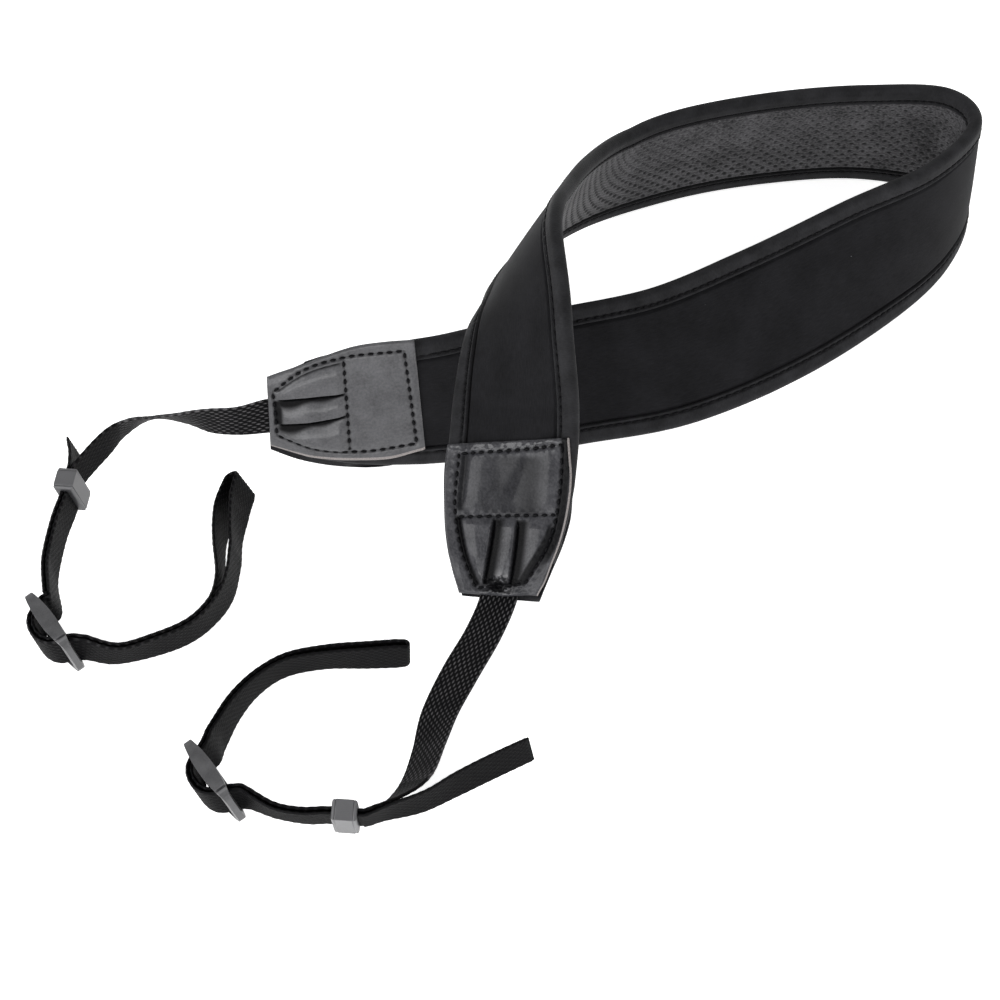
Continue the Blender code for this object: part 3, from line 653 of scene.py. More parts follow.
#    from_end  upper  lower
LEAF_EDGES = {
    "left": [(0.0, 12.4, -11.5), (9.0, 15.8, -14.6), (18.5, 19.6, -16.7), (28.0, 22.5, -17.6),
             (38.0, 23.5, -17.7), (48.0, 23.4, -15.4)],
    "front": [(0.0, 12.4, -12.5), (9.0, 15.6, -15.6), (18.5, 18.7, -18.3), (28.0, 20.6, -19.9),
              (38.0, 21.4, -21.1), (48.0, 20.3, -21.1)],
}
WIDE_SLANT = {"left": (0.045, 0.0), "front": (0.06, 0.5)}  # of the wide edge, and how much longer it is
INNER_SHIFTS = {"left": -1.6, "front": -1.4}
# (from_end, how far the inner leaf stands past the outer one on the side away from the laps), which fades
# out between two values of from_end
INNER_PROUD = {"left": [(0.0, 1.9), (12.0, 4.3), (30.0, 5.6)], "front": [(0.0, 0.5), (12.0, -0.5)]}
INNER_PROUD_FADE = {"left": (38.0, 47.0), "front": (24.0, 40.0)}
# faces round the outer leaf that show its raw cut edge
CUT_FACES = {"left": [-1, 0, 1, 2, 3], "front": [-17, -16]}
# seams and pleats in (from_end, lap): lap is measured across the band towards the side the pleats lap from,
# which is the upper edge at the left end and the lower edge at the front end
LAP_SIDE = {"left": 1.0, "front": -1.0}
SEAMS = {
    "left": {
        "top": [(1.6, 7.7), (12.1, 15.5), (24.2, 19.0), (43.5, 20.2)],
        "bottom": [(2.2, -7.4), (14.0, -12.5), (28.6, -14.4), (45.6, -12.9)],
        "narrow": [(1.6, 7.7), (2.1, 0.0), (2.2, -7.4)],
        "cross": [(24.3, 18.3), (24.7, 3.5), (25.1, -13.2)],
        "end": [(43.6, 20.0), (45.0, 2.7), (45.8, -12.6)],
    },
    "front": {
        "top": [(1.8, 6.8), (13.7, 12.5), (26.0, 15.9), (44.2, 16.6)],
        "bottom": [(4.2, -8.3), (19.0, -15.7), (34.3, -18.0), (46.2, -18.3)],
        "narrow": [(1.8, 6.8), (3.4, 0.0), (4.2, -8.3)],
        "cross": [(23.9, 15.0), (25.3, -0.6), (26.7, -16.8)],
        "end": [(44.2, 16.3), (45.2, 1.0), (46.4, -18.3)],
    },
}
PLEATS = {
    "left": ([(2.1, 4.9), (13.2, 6.0), (25.0, 6.7)], [(2.4, -3.5), (12.9, -2.8), (25.0, -1.1)]),
    "front": ([(4.0, 4.6), (14.4, 3.5), (24.8, 2.9)], [(4.6, -3.7), (15.1, -4.5), (25.8, -4.7)]),
}


def curve_through(at, rows, column=1):
    """A smooth curve through a column of a table's rows, whose first column holds their places."""
    rows = np.array(rows, float)
    places, values = rows[:, 0], rows[:, column]
    slopes = np.gradient(values, places)
    i = np.clip(np.searchsorted(places, at) - 1, 0, len(places) - 2)
    span = places[i + 1] - places[i]
    t = np.clip((at - places[i]) / span, 0.0, 1.0)
    rise = values[i] * (1 + 2 * t) * (1 - t) ** 2 + values[i + 1] * t * t * (3 - 2 * t)
    return rise + span * (slopes[i] * t * (1 - t) ** 2 - slopes[i + 1] * t * t * (1 - t))


def plateau(x, low, full, last, end):
    """Rises smoothly from 0 at low to 1 at full, and falls again from last to end."""
    return swell(x, low, full) * (1 - swell(x, last, end))


def rim(distance, width):
    """1 at an edge, falling to 0 at that width from it."""
    return (1 - np.clip(distance / width, 0.0, 1.0)) ** 2


def band_frames(end, from_end):
    return band.frames(from_end if end == "left" else band.length - from_end)


def seam_line(rows):
    """Close points along a seam, a fifth of a millimetre apart, and the length to each."""
    steps = lengths_along(rows)
    fine = np.linspace(0.0, steps[-1], int(steps[-1] / 0.2))
    line = np.stack([curve_through(fine, np.column_stack((steps, rows)), k) for k in (1, 2)], axis=-1)
    return line, lengths_along(line)


def seam_distance(end, from_end, lap):
    """Distance to the nearest seam, and the length along that seam, for arrays of places."""
    lines, lengths = zip(*(seam_line(rows) for rows in SEAMS[end].values()))
    knots, along = np.concatenate(lines), np.concatenate(lengths)
    places = np.stack(np.broadcast_arrays(from_end, lap), axis=-1)
    found = []
    for part in places.reshape(-1, places.shape[-2], 2):
        gaps = ((part[:, None] - knots) ** 2).sum(axis=-1)
        found.append((np.sqrt(gaps.min(axis=1)), along[gaps.argmin(axis=1)]))
    far, at = np.array(found).swapaxes(0, 1)
    return far.reshape(lap.shape), at.reshape(lap.shape)


def leaf_half(end, from_end, side):
    """Half width of a leaf and the middle of it across the band."""
    upper, lower = (curve_through(from_end, LEAF_EDGES[end], column) for column in (1, 2))
    if side < 0:
        proud = np.interp(from_end, *np.array(INNER_PROUD[end]).T)
        kept = 1 - swell(from_end, *INNER_PROUD_FADE[end])
        wanted_lower, wanted_upper = lower - proud, upper + proud
        inner_half = (upper - lower) / 2 - INNER_INSET
        shift = INNER_SHIFTS[end] * from_end / TAB_LENGTH
        lower, upper = shift - inner_half, shift + inner_half
        if end == "left":
            lower = lower + np.minimum(wanted_lower - lower, 0.0) * kept
        else:
            upper = upper + np.maximum(wanted_upper - upper, 0.0) * kept
    return (upper - lower) / 2, (upper + lower) / 2


def to_other_leaf(end, from_end, u, side, other):
    """Moves places across a leaf to the same share of the other."""
    half, centre = leaf_half(end, from_end, side)
    other_half, other_centre = leaf_half(end, from_end, other)
    return other_centre + (u - centre) / half * other_half


def leaf_base(end, from_end, u, side):
    """Height of a leaf's inside over the band's middle, and the distance from its edge."""
    closing = np.clip(from_end / BAND_START, 0.0, 1.0)
    base = 1.0 + (FOAM_EDGE_HALF * np.interp(from_end, growth_at, thickness_shares) + 0.7) * closing
    edge_height = 0.25 + (base - 0.25) * closing
    half, centre = leaf_half(end, from_end, side)
    flange = np.clip((np.abs(u - centre) / half - 0.82) / 0.18, 0.0, 1.0)
    return base + (edge_height - base) * flange, half - np.abs(u - centre)


def pleated(end, from_end, lap):
    """Height that the pleats add to the outer leaf, and the painted shade in the hollow under each fold."""
    tables = (SEAMS[end]["top"], *PLEATS[end], SEAMS[end]["bottom"])
    lines = [curve_through(from_end, rows) for rows in tables]
    first_width, first_depth = FIRST_HOLLOW[end]
    hollow_width = FRONT_HOLLOW
    if end == "left":
        uneven = 1 + 0.28 * np.sin(0.52 * from_end - 2.07)
        hollow_width = (1.3 + 1.9 * swell(PLEATS_END - from_end, 2.0, 14.0)) * uneven
    height = np.zeros_like(lap)
    hollow = np.zeros_like(lap)
    for number, (above, below) in enumerate(zip(lines, lines[1:])):
        inside = (lap < above) & (lap >= below)
        width = first_width if number == 0 else np.minimum(hollow_width, 0.7 * (above - below))
        climb = swell(above - lap, 0.0, width + 0.35 * (above - below))
        edge = np.clip((lap - below) / (0.55 if number < 2 else 2.2), 0.0, 1.0)
        height = np.where(inside, climb * np.sqrt(1 - (1 - edge) ** 2), height)
        # painted shade in each hollow, darkest next to the fold above it, and in the slit under each fold
        deep = 1 - swell(above - lap, width * 0.55, width * 1.2)
        hollow = np.where(inside, deep * (first_depth if number == 0 else 1.0), hollow)
    slit = sum(dip(lap - line + 0.25, 0.42) for line in lines[1:3])
    closing = np.clip(from_end / BAND_START, 0.0, 1.0)
    fade = np.clip((25.4 - from_end) / 3.5, 0.0, 1.0) * (1 + closing) / 2 * swell(from_end, 2.2, 5.0)
    shade = plateau(from_end, 1.6, 4.0, 23.6, 25.2)
    return fade * (PLEAT_HEIGHT * height - PLEAT_SLIT * slit), shade * np.clip(hollow + 1.2 * slit, 0.0, 1.0)


def relief_and_shade(end, from_end, lap, beyond):
    """Relief of an outer leaf besides its pleats, and the painted shade in its creases.

    The left one is pinched under the narrow edge's seam, with painted shade in the pinch.  The front one is
    bent, crushed where it is gathered and wrinkled past its end seam, with painted shade in its crushed
    hollows, in a valley and shadows past the pleats, on the flange outside its bottom seam and in a band
    inside that seam.  beyond is 1 inside the seams past the pleats.
    """
    if end == "left":
        pinched = plateau(from_end, 1.3, 2.0, 3.7, 4.8) * plateau(lap, -4.2, -3.2, 4.2, 5.2)
        # the pinch is darkened with painted shade
        return -0.25 * pinched, [0.95 * pinched]
    bends = ridges(lap, FRONT_BENDS) - 0.45 * dip(lap + 5.0 + 0.35 * (from_end - 36.0), 3.0)
    crumple = plateau(from_end, 0.3, 1.2, 5.0, 7.5) * dip(lap, 6.0)
    crushed = mottle(from_end, lap, 2.0)
    wrinkles = swell(from_end, 45.4, 46.6) * mottle(0.8 * from_end, 0.5 * lap, 1.6)
    shadow = plateau(from_end, 25.0, 26.5, 43.0, 44.5)
    outside = curve_through(from_end, SEAMS["front"]["bottom"]) - lap
    flange = plateau(outside, -0.9, 0.2, 2.3, 3.3) * swell(from_end, 7.0, 15.0)
    tucked_in = 1.8 + 2.6 * (1 - np.clip(from_end / 24.0, 0.0, 1.0))
    shade_inside_seam = (1 - swell(-outside, 0.6 * tucked_in, tucked_in)) * (outside < 0)
    # painted shade in the crushed hollows, a valley and shadows past the pleats, the flange and a band
    # inside the bottom seam
    return beyond * bends + crumple * crushed + 0.25 * wrinkles, [
        crumple * swell(-crushed, -0.60, -0.15),
        0.80 * shadow * dip(lap - 14.6, 1.9),
        shadow * ridges(lap, FRONT_SHADOWS),
        0.95 * flange,
        0.92 * shade_inside_seam * plateau(from_end, 2.6, 4.6, 22.0, 25.0),
    ]


def leaf_surface(end, from_end, u, side):
    """Height of a leaf's face over the band's middle, and the painted shade in its creases."""
    lap = to_other_leaf(end, from_end, u, side, 1) * LAP_SIDE[end]
    base, from_edge = leaf_base(end, from_end, u, side)
    far, at = seam_distance(end, from_end, lap)
    under_thread = 1 - wave(at, SEAM_PITCH)
    height = base + LEATHER - 0.34 * dip(far, 0.55) - 0.22 * dip(far, 0.5) * under_thread
    # painted shade along the seams, darker in the needle dents
    creases = [dip(far, 0.34) * 0.50 + dip(far, 0.56) * 0.90 * under_thread ** 2]
    if side > 0:
        raised, hollow = pleated(end, from_end, lap)
        tuck = lap - curve_through(from_end, SEAMS[end]["top"])
        tuck = tuck + 0.45 + 0.13 * from_end - 0.0035 * from_end ** 2
        tucked = dip(tuck, 0.34) * plateau(from_end, 2.0, 4.0, 22.5, 24.3)
        puckers = dip(far - 1.1, 0.8) * np.cos(2 * np.pi * at / SEAM_PITCH + 0.6)
        beyond = swell(from_end, 25.5, 30.0) * swell(from_edge, 1.0, 5.0)
        relief, more_shading = relief_and_shade(end, from_end, lap, beyond)
        height = height + raised - 0.35 * tucked + 0.18 * dip(tuck - 0.8, 0.5) * (tucked > 0)
        height = height + relief + 0.05 * puckers
        # painted shade in the pleats' hollows, on the tuck line and from the leaf's other relief
        creases += [hollow, 0.9 * tucked, *more_shading]
    height = height - 0.5 * rim(from_edge, 0.7)
    height = height - 0.4 * rim(TAB_LENGTH - from_end, 0.8) - 0.4 * rim(from_end, 0.6)
    return height, np.clip(np.maximum.reduce(creases), 0.0, 1.0)


def leaf_places(end, from_end, u, out, side):
    """Points in the tables' millimetres for places on a leaf, whose ends aren't quite square.

    What would go under the table is bent out along it instead.
    """
    lap = u * LAP_SIDE[end]
    slope, longer = WIDE_SLANT[end]
    from_end = from_end + (longer - slope * lap) * swell(from_end, 43.0, TAB_LENGTH)
    if end == "front" and side > 0:
        from_end = from_end + (0.7 + 1.0 * swell(-lap, 2.0, 9.0)) * (1 - swell(from_end, 0.0, 7.0))
    middle, along, across, outward = band_frames(end, from_end)
    places = middle + across * u[..., None] + outward * out[..., None]
    under_table = np.maximum(0.1 - places[..., 2], 0.0)
    return places + under_table[..., None] * np.array((0.0, -1.0, 1.0))


def leather(name, dark, light, gloss, shine, coat_roughness, wet=0.0):
    """Smooth-grained leather: pebbled, a little cloudy, glossy; painted shade darkens and dulls its creases.

    wet adds gloss at the gathered narrow edge and past the end seam.
    """
    finish = Finish(name, Specular_IOR_Level=0.06, Coat_Roughness=coat_roughness)
    cloud = finish.noise(0.16, 4.0)
    fine = finish.noise(1.1, 4.0)
    pebble = finish.cells(1.25)
    skin = finish.shades(cloud * 0.55 + fine * 0.45, 0.34, 0.66, dark, light)
    lightening = finish.ramp(pebble, (0.0, 0.35), (0.55, 0.0))
    skin = finish.mix(lightening * 0.35, skin, tuple(c * 1.5 for c in light))
    # painted shade from the mesh darkens the skin in creases, hollows and along seams
    colour = finish.mix(finish.tint(), skin, (0.0018, 0.0018, 0.0022))
    along, across = finish.along_across()
    along = along * (1 / TAB_LENGTH)
    middle = finish.ramp(across * (1 / LEAF_GIRTH), (0.26, 0.0), (0.36, 1.0), (0.64, 1.0), (0.74, 0.0))
    gathered = finish.ramp(along, (0.0, 1.0), (0.13, 1.0), (0.19, 0.0)) * middle
    past_seam = finish.ramp(along, (0.93, 0.0), (0.96, 0.35))
    # no coat where painted shade darkens the leather
    coat = (1.0 - finish.tint()) * ((gathered + past_seam) * wet + shine)
    relief = finish.bump(cloud * 0.5 + fine * 0.5, 0.22, Normal=finish.bump(pebble, 0.05))
    return finish.feed(Base_Color=colour, Roughness=cloud * 0.22 + gloss, Coat_Weight=coat, Normal=relief)


def raw_edge():
    """The leather's cut edge: paler, fibrous and matt."""
    finish = Finish("leather_cut_edge", Specular_IOR_Level=0.2)
    fibres = finish.noise(2.2, 4.0, (1.0, 3.0, 1.0))
    colour = finish.shades(fibres, 0.3, 0.7, (0.120, 0.110, 0.108), (0.300, 0.275, 0.268))
    return finish.feed(Base_Color=colour, Roughness=fibres * 0.1 + 0.8, Normal=finish.bump(fibres, 0.12))


cut_leather = raw_edge()
# the inner leaves' near black copy paints the shade on them, seen below the left end's outer leaf
# the same grey leather, painted paler where the left end faces the light and darker where the front lies
# flat
leathers = {
    "left": leather("leather_left_lit_tone", (0.046, 0.046, 0.049), (0.086, 0.086, 0.091), 0.34, 0.5, 0.26),
    "front": leather("leather_front_shaded_tone", (0.017, 0.017, 0.020), (0.058, 0.058, 0.063), 0.30, 0.24, 0.17, 0.76),
    "inner": leather("leather_inner_shaded_tone", (0.006, 0.006, 0.007), (0.018, 0.018, 0.020), 0.34, 0.15, 0.26),
}
for end in ("left", "front"):
    for leaf, side, step, columns in (("outer", 1, 0.3, 141), ("inner", -1, 0.48, 85)):
        from_end = np.linspace(0.0, TAB_LENGTH, int(TAB_LENGTH / step))[:, None]
        half, centre = leaf_half(end, from_end, side)
        u = centre + half * np.linspace(-1.0, 1.0, columns)
        height, crease = leaf_surface(end, from_end, u, side)
        back_u = centre + half * np.linspace(1.0, -1.0, BACK_COLUMNS)
        under = leaf_base(end, from_end, back_u, side)[0]
        picks = np.zeros(columns + BACK_COLUMNS, int)
        if side > 0:
            under = under + np.clip(pleated(end, from_end, back_u * LAP_SIDE[end])[0], 0.0, 1.0) * 0.6
            picks[CUT_FACES[end]] = 1
        rings = np.concatenate((leaf_places(end, from_end, u, side * height, side),
                                leaf_places(end, from_end, back_u, side * under, side)), axis=1)
        around = girths_round(np.linspace(0.0, LEAF_GIRTH, columns), BACK_COLUMNS, LEATHER, LEATHER)
        # painted shade on each leaf's face, none on its back
        tint = np.concatenate((crease, np.zeros_like(back_u)), axis=1)
        skins = [leathers[end if side > 0 else "inner"], cut_leather]
        piece = tube(end + "_leather_" + leaf, rings, from_end[:, 0], around, skins, picks, 50.0, tint,
                     (0, int(side > 0)))
        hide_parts(end + "_tab_" + leaf)
        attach(piece, "root")

        starts, stops, lifts = [], [], []
        for rows in SEAMS[end].values():
            line, lengths = seam_line(rows)
            first = np.arange(SEAM_START, lengths[-1] - 1.0, SEAM_PITCH)
            last = np.minimum(first + SEAM_STITCH, lengths[-1])
            for places, s in ((starts, first), (stops, last)):
                seam_end, seam_lap = read(s, lengths, line).T
                seam_u = to_other_leaf(end, seam_end, seam_lap * LAP_SIDE[end], 1, side)
                height = leaf_surface(end, seam_end, seam_u, side)[0] + SEAM_RAISED
                places.append(leaf_places(end, seam_end, seam_u, side * height, side))
            lifts.append(band_frames(end, read(first, lengths, line)[:, 0])[3] * side * SEAM_LIFT)
        threads = [np.concatenate(part) for part in (starts, stops, lifts)]
        sewn = stitches(end + "_stitches_" + leaf, *threads, SEAM_RADIUS)
        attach(sewn, "root")

# ======== keepers
# A moulded plastic loop on each side slides along the strap and holds its tail: a short rectangular tube
# with rounded edges and a fine parting line near each mouth.
KEEPER_LENGTH = 7.6
KEEPER_DEPTH = 6.4
KEEPER_HEIGHT = 14.6
KEEPER_HOLE_DEPTH = 3.3
KEEPER_HOLE_HEIGHT = 12.6
PARTING_LINE = 2.75  # from the loop's middle
PARTING_HALF = 0.16  # half its width
KEEPERS = {
    "left": {"centre": (-134.5, -6.8, 11.6), "heading": -102, "pitch": -18, "lean": -9},
    "front": {"centre": (-45.0, -139.0, 8.4), "heading": 175, "pitch": 0, "lean": 26},
}


def hardware_axes(spec):
    """Directions along the strap, to its left and up it."""
    heading, pitch = math.radians(spec["heading"]), math.radians(spec["pitch"])
    level = math.cos(pitch)
    along = np.array((math.cos(heading) * level, math.sin(heading) * level, math.sin(pitch)))
    up = leaning(along, spec["lean"])
    return along, np.cross(up, along), up


def block(name, size):
    """A cube of a size in millimetres at the origin, the only thing selected."""
    bpy.ops.object.select_all(action="DESELECT")
    bpy.ops.mesh.primitive_cube_add(size=1.0, location=(0, 0, 0))
    thing = bpy.context.object
    thing.name = name
    thing.scale = [length * MM for length in size]
    bpy.ops.object.transform_apply(location=False, rotation=False, scale=True)
    return thing


def pick(thing, kind, test):
    """Selects what passes a test among the edited piece's verts, edges or faces."""
    shape = bmesh.from_edit_mesh(thing.data)
    bpy.ops.mesh.select_all(action="DESELECT")
    bpy.ops.mesh.select_mode(type=kind[:-1].upper())
    for element in getattr(shape, kind):
        element.select = bool(test(element))
    shape.select_flush_mode()
    bmesh.update_edit_mesh(thing.data)


def scale_picked(x, y, z):
    bpy.ops.transform.resize(value=(x, y, z), center_override=(0, 0, 0))


def slice_across(axis, places):
    """Cuts new edges across the edited piece at millimetres along an axis."""
    normal = [1.0 if k == axis else 0.0 for k in range(3)]
    for place in places:
        bpy.ops.mesh.select_all(action="SELECT")
        bpy.ops.mesh.bisect(plane_co=[place * MM * part for part in normal], plane_no=normal)


def smooth_over(degrees):
    """Leaves edit mode and shades the piece smooth but for its sharp edges."""
    bpy.ops.object.mode_set(mode="OBJECT")
    bpy.ops.object.shade_smooth_by_angle(angle=math.radians(degrees))


def soften_edges(thing, width, segments, degrees):
    """Bevels the piece's sharp edges, over a width in millimetres."""
    soften = thing.modifiers.new("softened_edges", "BEVEL")
    soften.width = width * MM
    soften.segments = segments
    soften.limit_method = "ANGLE"
    soften.angle_limit = math.radians(degrees)
    bpy.ops.object.modifier_apply(modifier="softened_edges")


def put_in_place(thing, spec, material):
    """Moves a piece modelled at the origin, along X and up Z, to its place."""
    matrix = Matrix(np.stack(hardware_axes(spec), axis=1).tolist()).to_4x4()
    matrix.translation = Vector((np.array(spec["centre"]) - LAYOUT_CENTRE) * MM)
    bpy.ops.object.select_all(action="DESELECT")
    thing.select_set(True)
    bpy.context.view_layer.objects.active = thing
    thing.matrix_world = matrix
    bpy.ops.object.transform_apply(location=True, rotation=True, scale=True)
    thing.data.materials.append(material)


def outside_hole(vert):
    """Whether a point of a keeper lies clear of its hole, so on its outside."""
    clear = 0.3
    return (abs(vert.co.y) > (KEEPER_HOLE_DEPTH / 2 + clear) * MM
            or abs(vert.co.z) > (KEEPER_HOLE_HEIGHT / 2 + clear) * MM)


def moulded_plastic(name, dark, light):
    """Satin grey moulded plastic with a fine spark-eroded grain, slightly paler on its sharpest edges."""
    finish = Finish(name, Specular_IOR_Level=0.36)
    grain = finish.noise(2600.0, 3.0, source="Object")
    cloud = finish.noise(260.0, 3.0, source="Object")
    skin = finish.shades(cloud * 0.6 + grain * 0.4, 0.35, 0.65, dark, light)
    lightening = finish.node("NewGeometry", {}, {}, "Pointiness")
    colour = finish.mix(finish.ramp(lightening, (0.52, 0.0), (0.58, 0.6)), skin, (0.16, 0.16, 0.165))
    return finish.feed(Base_Color=colour, Roughness=cloud * 0.14 + 0.34, Normal=finish.bump(grain, 0.03))


keeper_plastic = moulded_plastic("keeper_plastic", (0.014, 0.014, 0.016), (0.028, 0.028, 0.031))
for end, spec in KEEPERS.items():
    keeper = block(end + "_keeper_loop", (KEEPER_LENGTH, KEEPER_DEPTH, KEEPER_HEIGHT))
    bpy.ops.object.mode_set(mode="EDIT")
    pick(keeper, "edges", lambda edge: abs(edge.verts[0].co.x - edge.verts[1].co.x) < MM)
    bpy.ops.mesh.bevel(offset=0.85 * MM, segments=3, affect="EDGES")
    pick(keeper, "faces", lambda face: abs(face.normal.x) > 0.99)
    bpy.ops.mesh.inset(thickness=(KEEPER_HEIGHT - KEEPER_HOLE_HEIGHT) / 2 * MM, depth=0)
    scale_picked(1.0, KEEPER_HOLE_DEPTH / (KEEPER_DEPTH - KEEPER_HEIGHT + KEEPER_HOLE_HEIGHT), 1.0)
    bpy.ops.mesh.bridge_edge_loops()
    for line in (-PARTING_LINE, PARTING_LINE):
        slice_across(0, (line - PARTING_HALF, line, line + PARTING_HALF))
    pick(keeper, "verts", lambda vert: abs(abs(vert.co.x) / MM - PARTING_LINE) < 0.05 and outside_hole(vert))
    scale_picked(1.0, 0.955, 0.98)
    pick(keeper, "verts", lambda vert: abs(vert.co.x) < (PARTING_LINE - 0.1) * MM and outside_hole(vert))
    scale_picked(1.0, 1.02, 1.01)
    smooth_over(32)
    soften_edges(keeper, 0.22, 2, 40)
    put_in_place(keeper, spec, keeper_plastic)
    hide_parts(end + "_keeper")
    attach(keeper, "root")

# ======== sliders
# Each strap's length is set by a moulded slider, a lens-shaped plate with two slots and a bar between them.
# The doubled strap goes up through one slot, over the bar and down through the other.
SLIDER_LENGTH = 26.7
SLIDER_HEIGHT = 15.6
SLIDER_MIDDLE = 5.0  # thickness at the bar
SLIDER_TIP = 2.0  # and at the rounded tips
SLIDER_CORNER = 3.0
SLOT_NEAR = 2.9
SLOT_FAR = 11.1
SLOT_HEIGHT = 12.9
NOTCH_PLACE = 9.4  # a nick across the upper edge, from the middle
NOTCH_LENGTH = 1.1
NOTCH_HEIGHT = 1.7
SLIDERS = {
    "left": {"centre": (-135.7, -65.1, 8.3), "heading": -58, "pitch": 0, "lean": -18, "notch": 1},
    "front": {"centre": (-84.0, -125.0, 8.2), "heading": 120.5, "pitch": 0, "lean": 20, "notch": -1},
}
slider_plastic = moulded_plastic("slider_plastic", (0.038, 0.038, 0.040), (0.066, 0.066, 0.069))
for end, spec in SLIDERS.items():
    slider = block(end + "_slider_plate", (SLIDER_LENGTH, SLIDER_MIDDLE, SLIDER_HEIGHT))
    bpy.ops.object.mode_set(mode="EDIT")
    pick(slider, "edges", lambda edge: abs(edge.verts[0].co.y - edge.verts[1].co.y) > MM)
    bpy.ops.mesh.bevel(offset=SLIDER_CORNER * MM, segments=6, affect="EDGES")
    cuts = [SLOT_NEAR, 4.6, 6.6, 8.6, 10.0, SLOT_FAR, 12.2]
    slice_across(0, [-place for place in cuts] + [-1.4, 0.0, 1.4] + cuts)
    slice_across(2, (-SLOT_HEIGHT / 2, SLOT_HEIGHT / 2))
    for side in (-1, 1):
        low, high = sorted((side * SLOT_NEAR * MM, side * SLOT_FAR * MM))
        pick(slider, "faces", lambda face: abs(face.normal.y) > 0.9
             and low < face.calc_center_median().x < high
             and abs(face.calc_center_median().z) < SLOT_HEIGHT / 2 * MM)
        bpy.ops.mesh.delete(type="FACE")
        pick(slider, "edges", lambda edge: edge.is_boundary)
        bpy.ops.mesh.bridge_edge_loops()
    for place in sorted({round(vert.co.x / MM, 3) for vert in bmesh.from_edit_mesh(slider.data).verts}):
        bulge = 1 - (place / (SLIDER_LENGTH / 2)) ** 2
        pick(slider, "verts", lambda vert: abs(vert.co.x / MM - place) < 0.002)
        scale_picked(1.0, (SLIDER_TIP + (SLIDER_MIDDLE - SLIDER_TIP) * bulge) / SLIDER_MIDDLE, 1.0)
    smooth_over(30)

    nick = block("nick", (NOTCH_LENGTH, SLIDER_MIDDLE * 2, NOTCH_HEIGHT))
    nick.location = (spec["notch"] * NOTCH_PLACE * MM, 0, SLIDER_HEIGHT / 2 * MM)
    bpy.context.view_layer.objects.active = slider
    notched = slider.modifiers.new("notched", "BOOLEAN")
    notched.operation = "DIFFERENCE"
    notched.solver = "EXACT"
    notched.object = nick
    bpy.ops.object.modifier_apply(modifier="notched")
    bpy.data.objects.remove(nick)
    soften_edges(slider, 0.38, 3, 35)
    put_in_place(slider, spec, slider_plastic)
    bpy.ops.object.shade_smooth_by_angle(angle=math.radians(32))
    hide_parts(end + "_slider")
    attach(slider, "root")

# ======== woven straps
# Each side's strap is one length of narrow black polyester webbing.  It comes out of the leather end, goes
# through the keeper and the slider to a loop for the camera's lug, and back beside itself to its cut tail.
WEB_WIDTH = 12.0
WEB_THICK = 1.2
WEB_EDGE = 0.7  # width of each rounded edge
WEB_IN_TAB = 9.0
LAYER = 0.75  # from the doubled strap's middle to each layer's
KEEPER_RUN = 5.5
COLUMNS = 14  # warp columns on each face
FLOAT_PITCH = 2.8  # of the columns' raised floats
STEP = FLOAT_PITCH / 7
SEWN_SHIFTS = {"left": -1.4, "front": 0.0}
# the pair's bow round the slider's bar, up to its middle
#    along  outward  up
SLIDER_ARCH = [(-11.3, -4.9, -1.3), (-9.2, -2.3, -0.3), (-7.6, 0.9, 0.0), (-5.9, 3.3, 0.0), (-3.2, 4.8, 0.0)]
SLIDER_ARCH += [(0.0, 5.3, 0.0)] + [(-along, outward, up) for along, outward, up in SLIDER_ARCH[::-1]]
# feed, leg, loop and tail hold x, y, z and lean; spread holds shares of the loop and what they add to LAYER;
# the last number is the share of the floats' painted highlight kept past the feed
STRAPS = {
    "left": {
        "feed": [(-83.0, 14.6, 20.8, -2), (-92.0, 15.2, 20.3, 8), (-101.2, 17.3, 19.4, 34),
                 (-110.5, 18.3, 18.6, 45), (-118.6, 15.0, 17.6, 22), (-124.6, 9.2, 16.2, 1)],
        "leg": [(-137.9, -22.0, 8.6, -9), (-139.4, -38.0, 7.3, -11)],
        "loop": [(-116.5, -72.7, 6.8, -20), (-106.0, -69.4, 6.8, -16), (-95.4, -63.4, 6.7, -11),
                 (-88.4, -54.7, 6.7, -2), (-85.1, -44.5, 6.7, 8), (-84.8, -33.1, 6.9, 13),
                 (-85.2, -21.5, 7.0, 17), (-84.2, -10.7, 7.1, 27), (-82.2, -1.6, 7.3, 30)],
        "tail": [(-134.5, 3.7, 13.9, 10), (-135.0, 9.1, 15.1, 16)],
        "side": -1,
        "spread": [(0.0, 0.0), (0.45, 0.0), (0.58, 0.9), (0.70, 1.9), (0.88, 2.0), (1.0, 1.2)],
        "slant": 0.0,
        "lightening": 0.42,
    },
    "front": {
        "feed": [(-5.1, -62.1, 4.3, 86), (-12.0, -77.5, 3.4, 88), (-17.9, -93.5, 3.6, 78),
                 (-20.9, -108.4, 5.3, 62), (-24.5, -122.8, 6.9, 55), (-30.4, -131.6, 8.0, 40)],
        "leg": [(-57.5, -137.9, 7.5, 27), (-65.8, -135.8, 7.4, 26)],
        "loop": [(-83.6, -104.8, 6.9, 10), (-79.6, -94.3, 6.7, 2), (-73.4, -84.6, 6.7, -8),
                 (-64.8, -77.3, 6.7, -15), (-52.8, -74.0, 6.7, -17), (-40.2, -73.2, 6.7, -12),
                 (-28.9, -72.4, 6.7, -9)],
        "tail": [(-32.9, -136.9, 7.9, -19), (-22.3, -131.9, 7.0, -10), (-13.2, -125.4, 6.7, -3),
                 (-2.6, -118.4, 6.7, -1), (10.3, -110.5, 6.8, -2)],
        "side": 1,
        "spread": [(0.0, 0.0), (0.45, 0.0), (0.75, 0.35), (1.0, 0.35)],
        "slant": 2.4,
        "lightening": 0.32,
    },
}


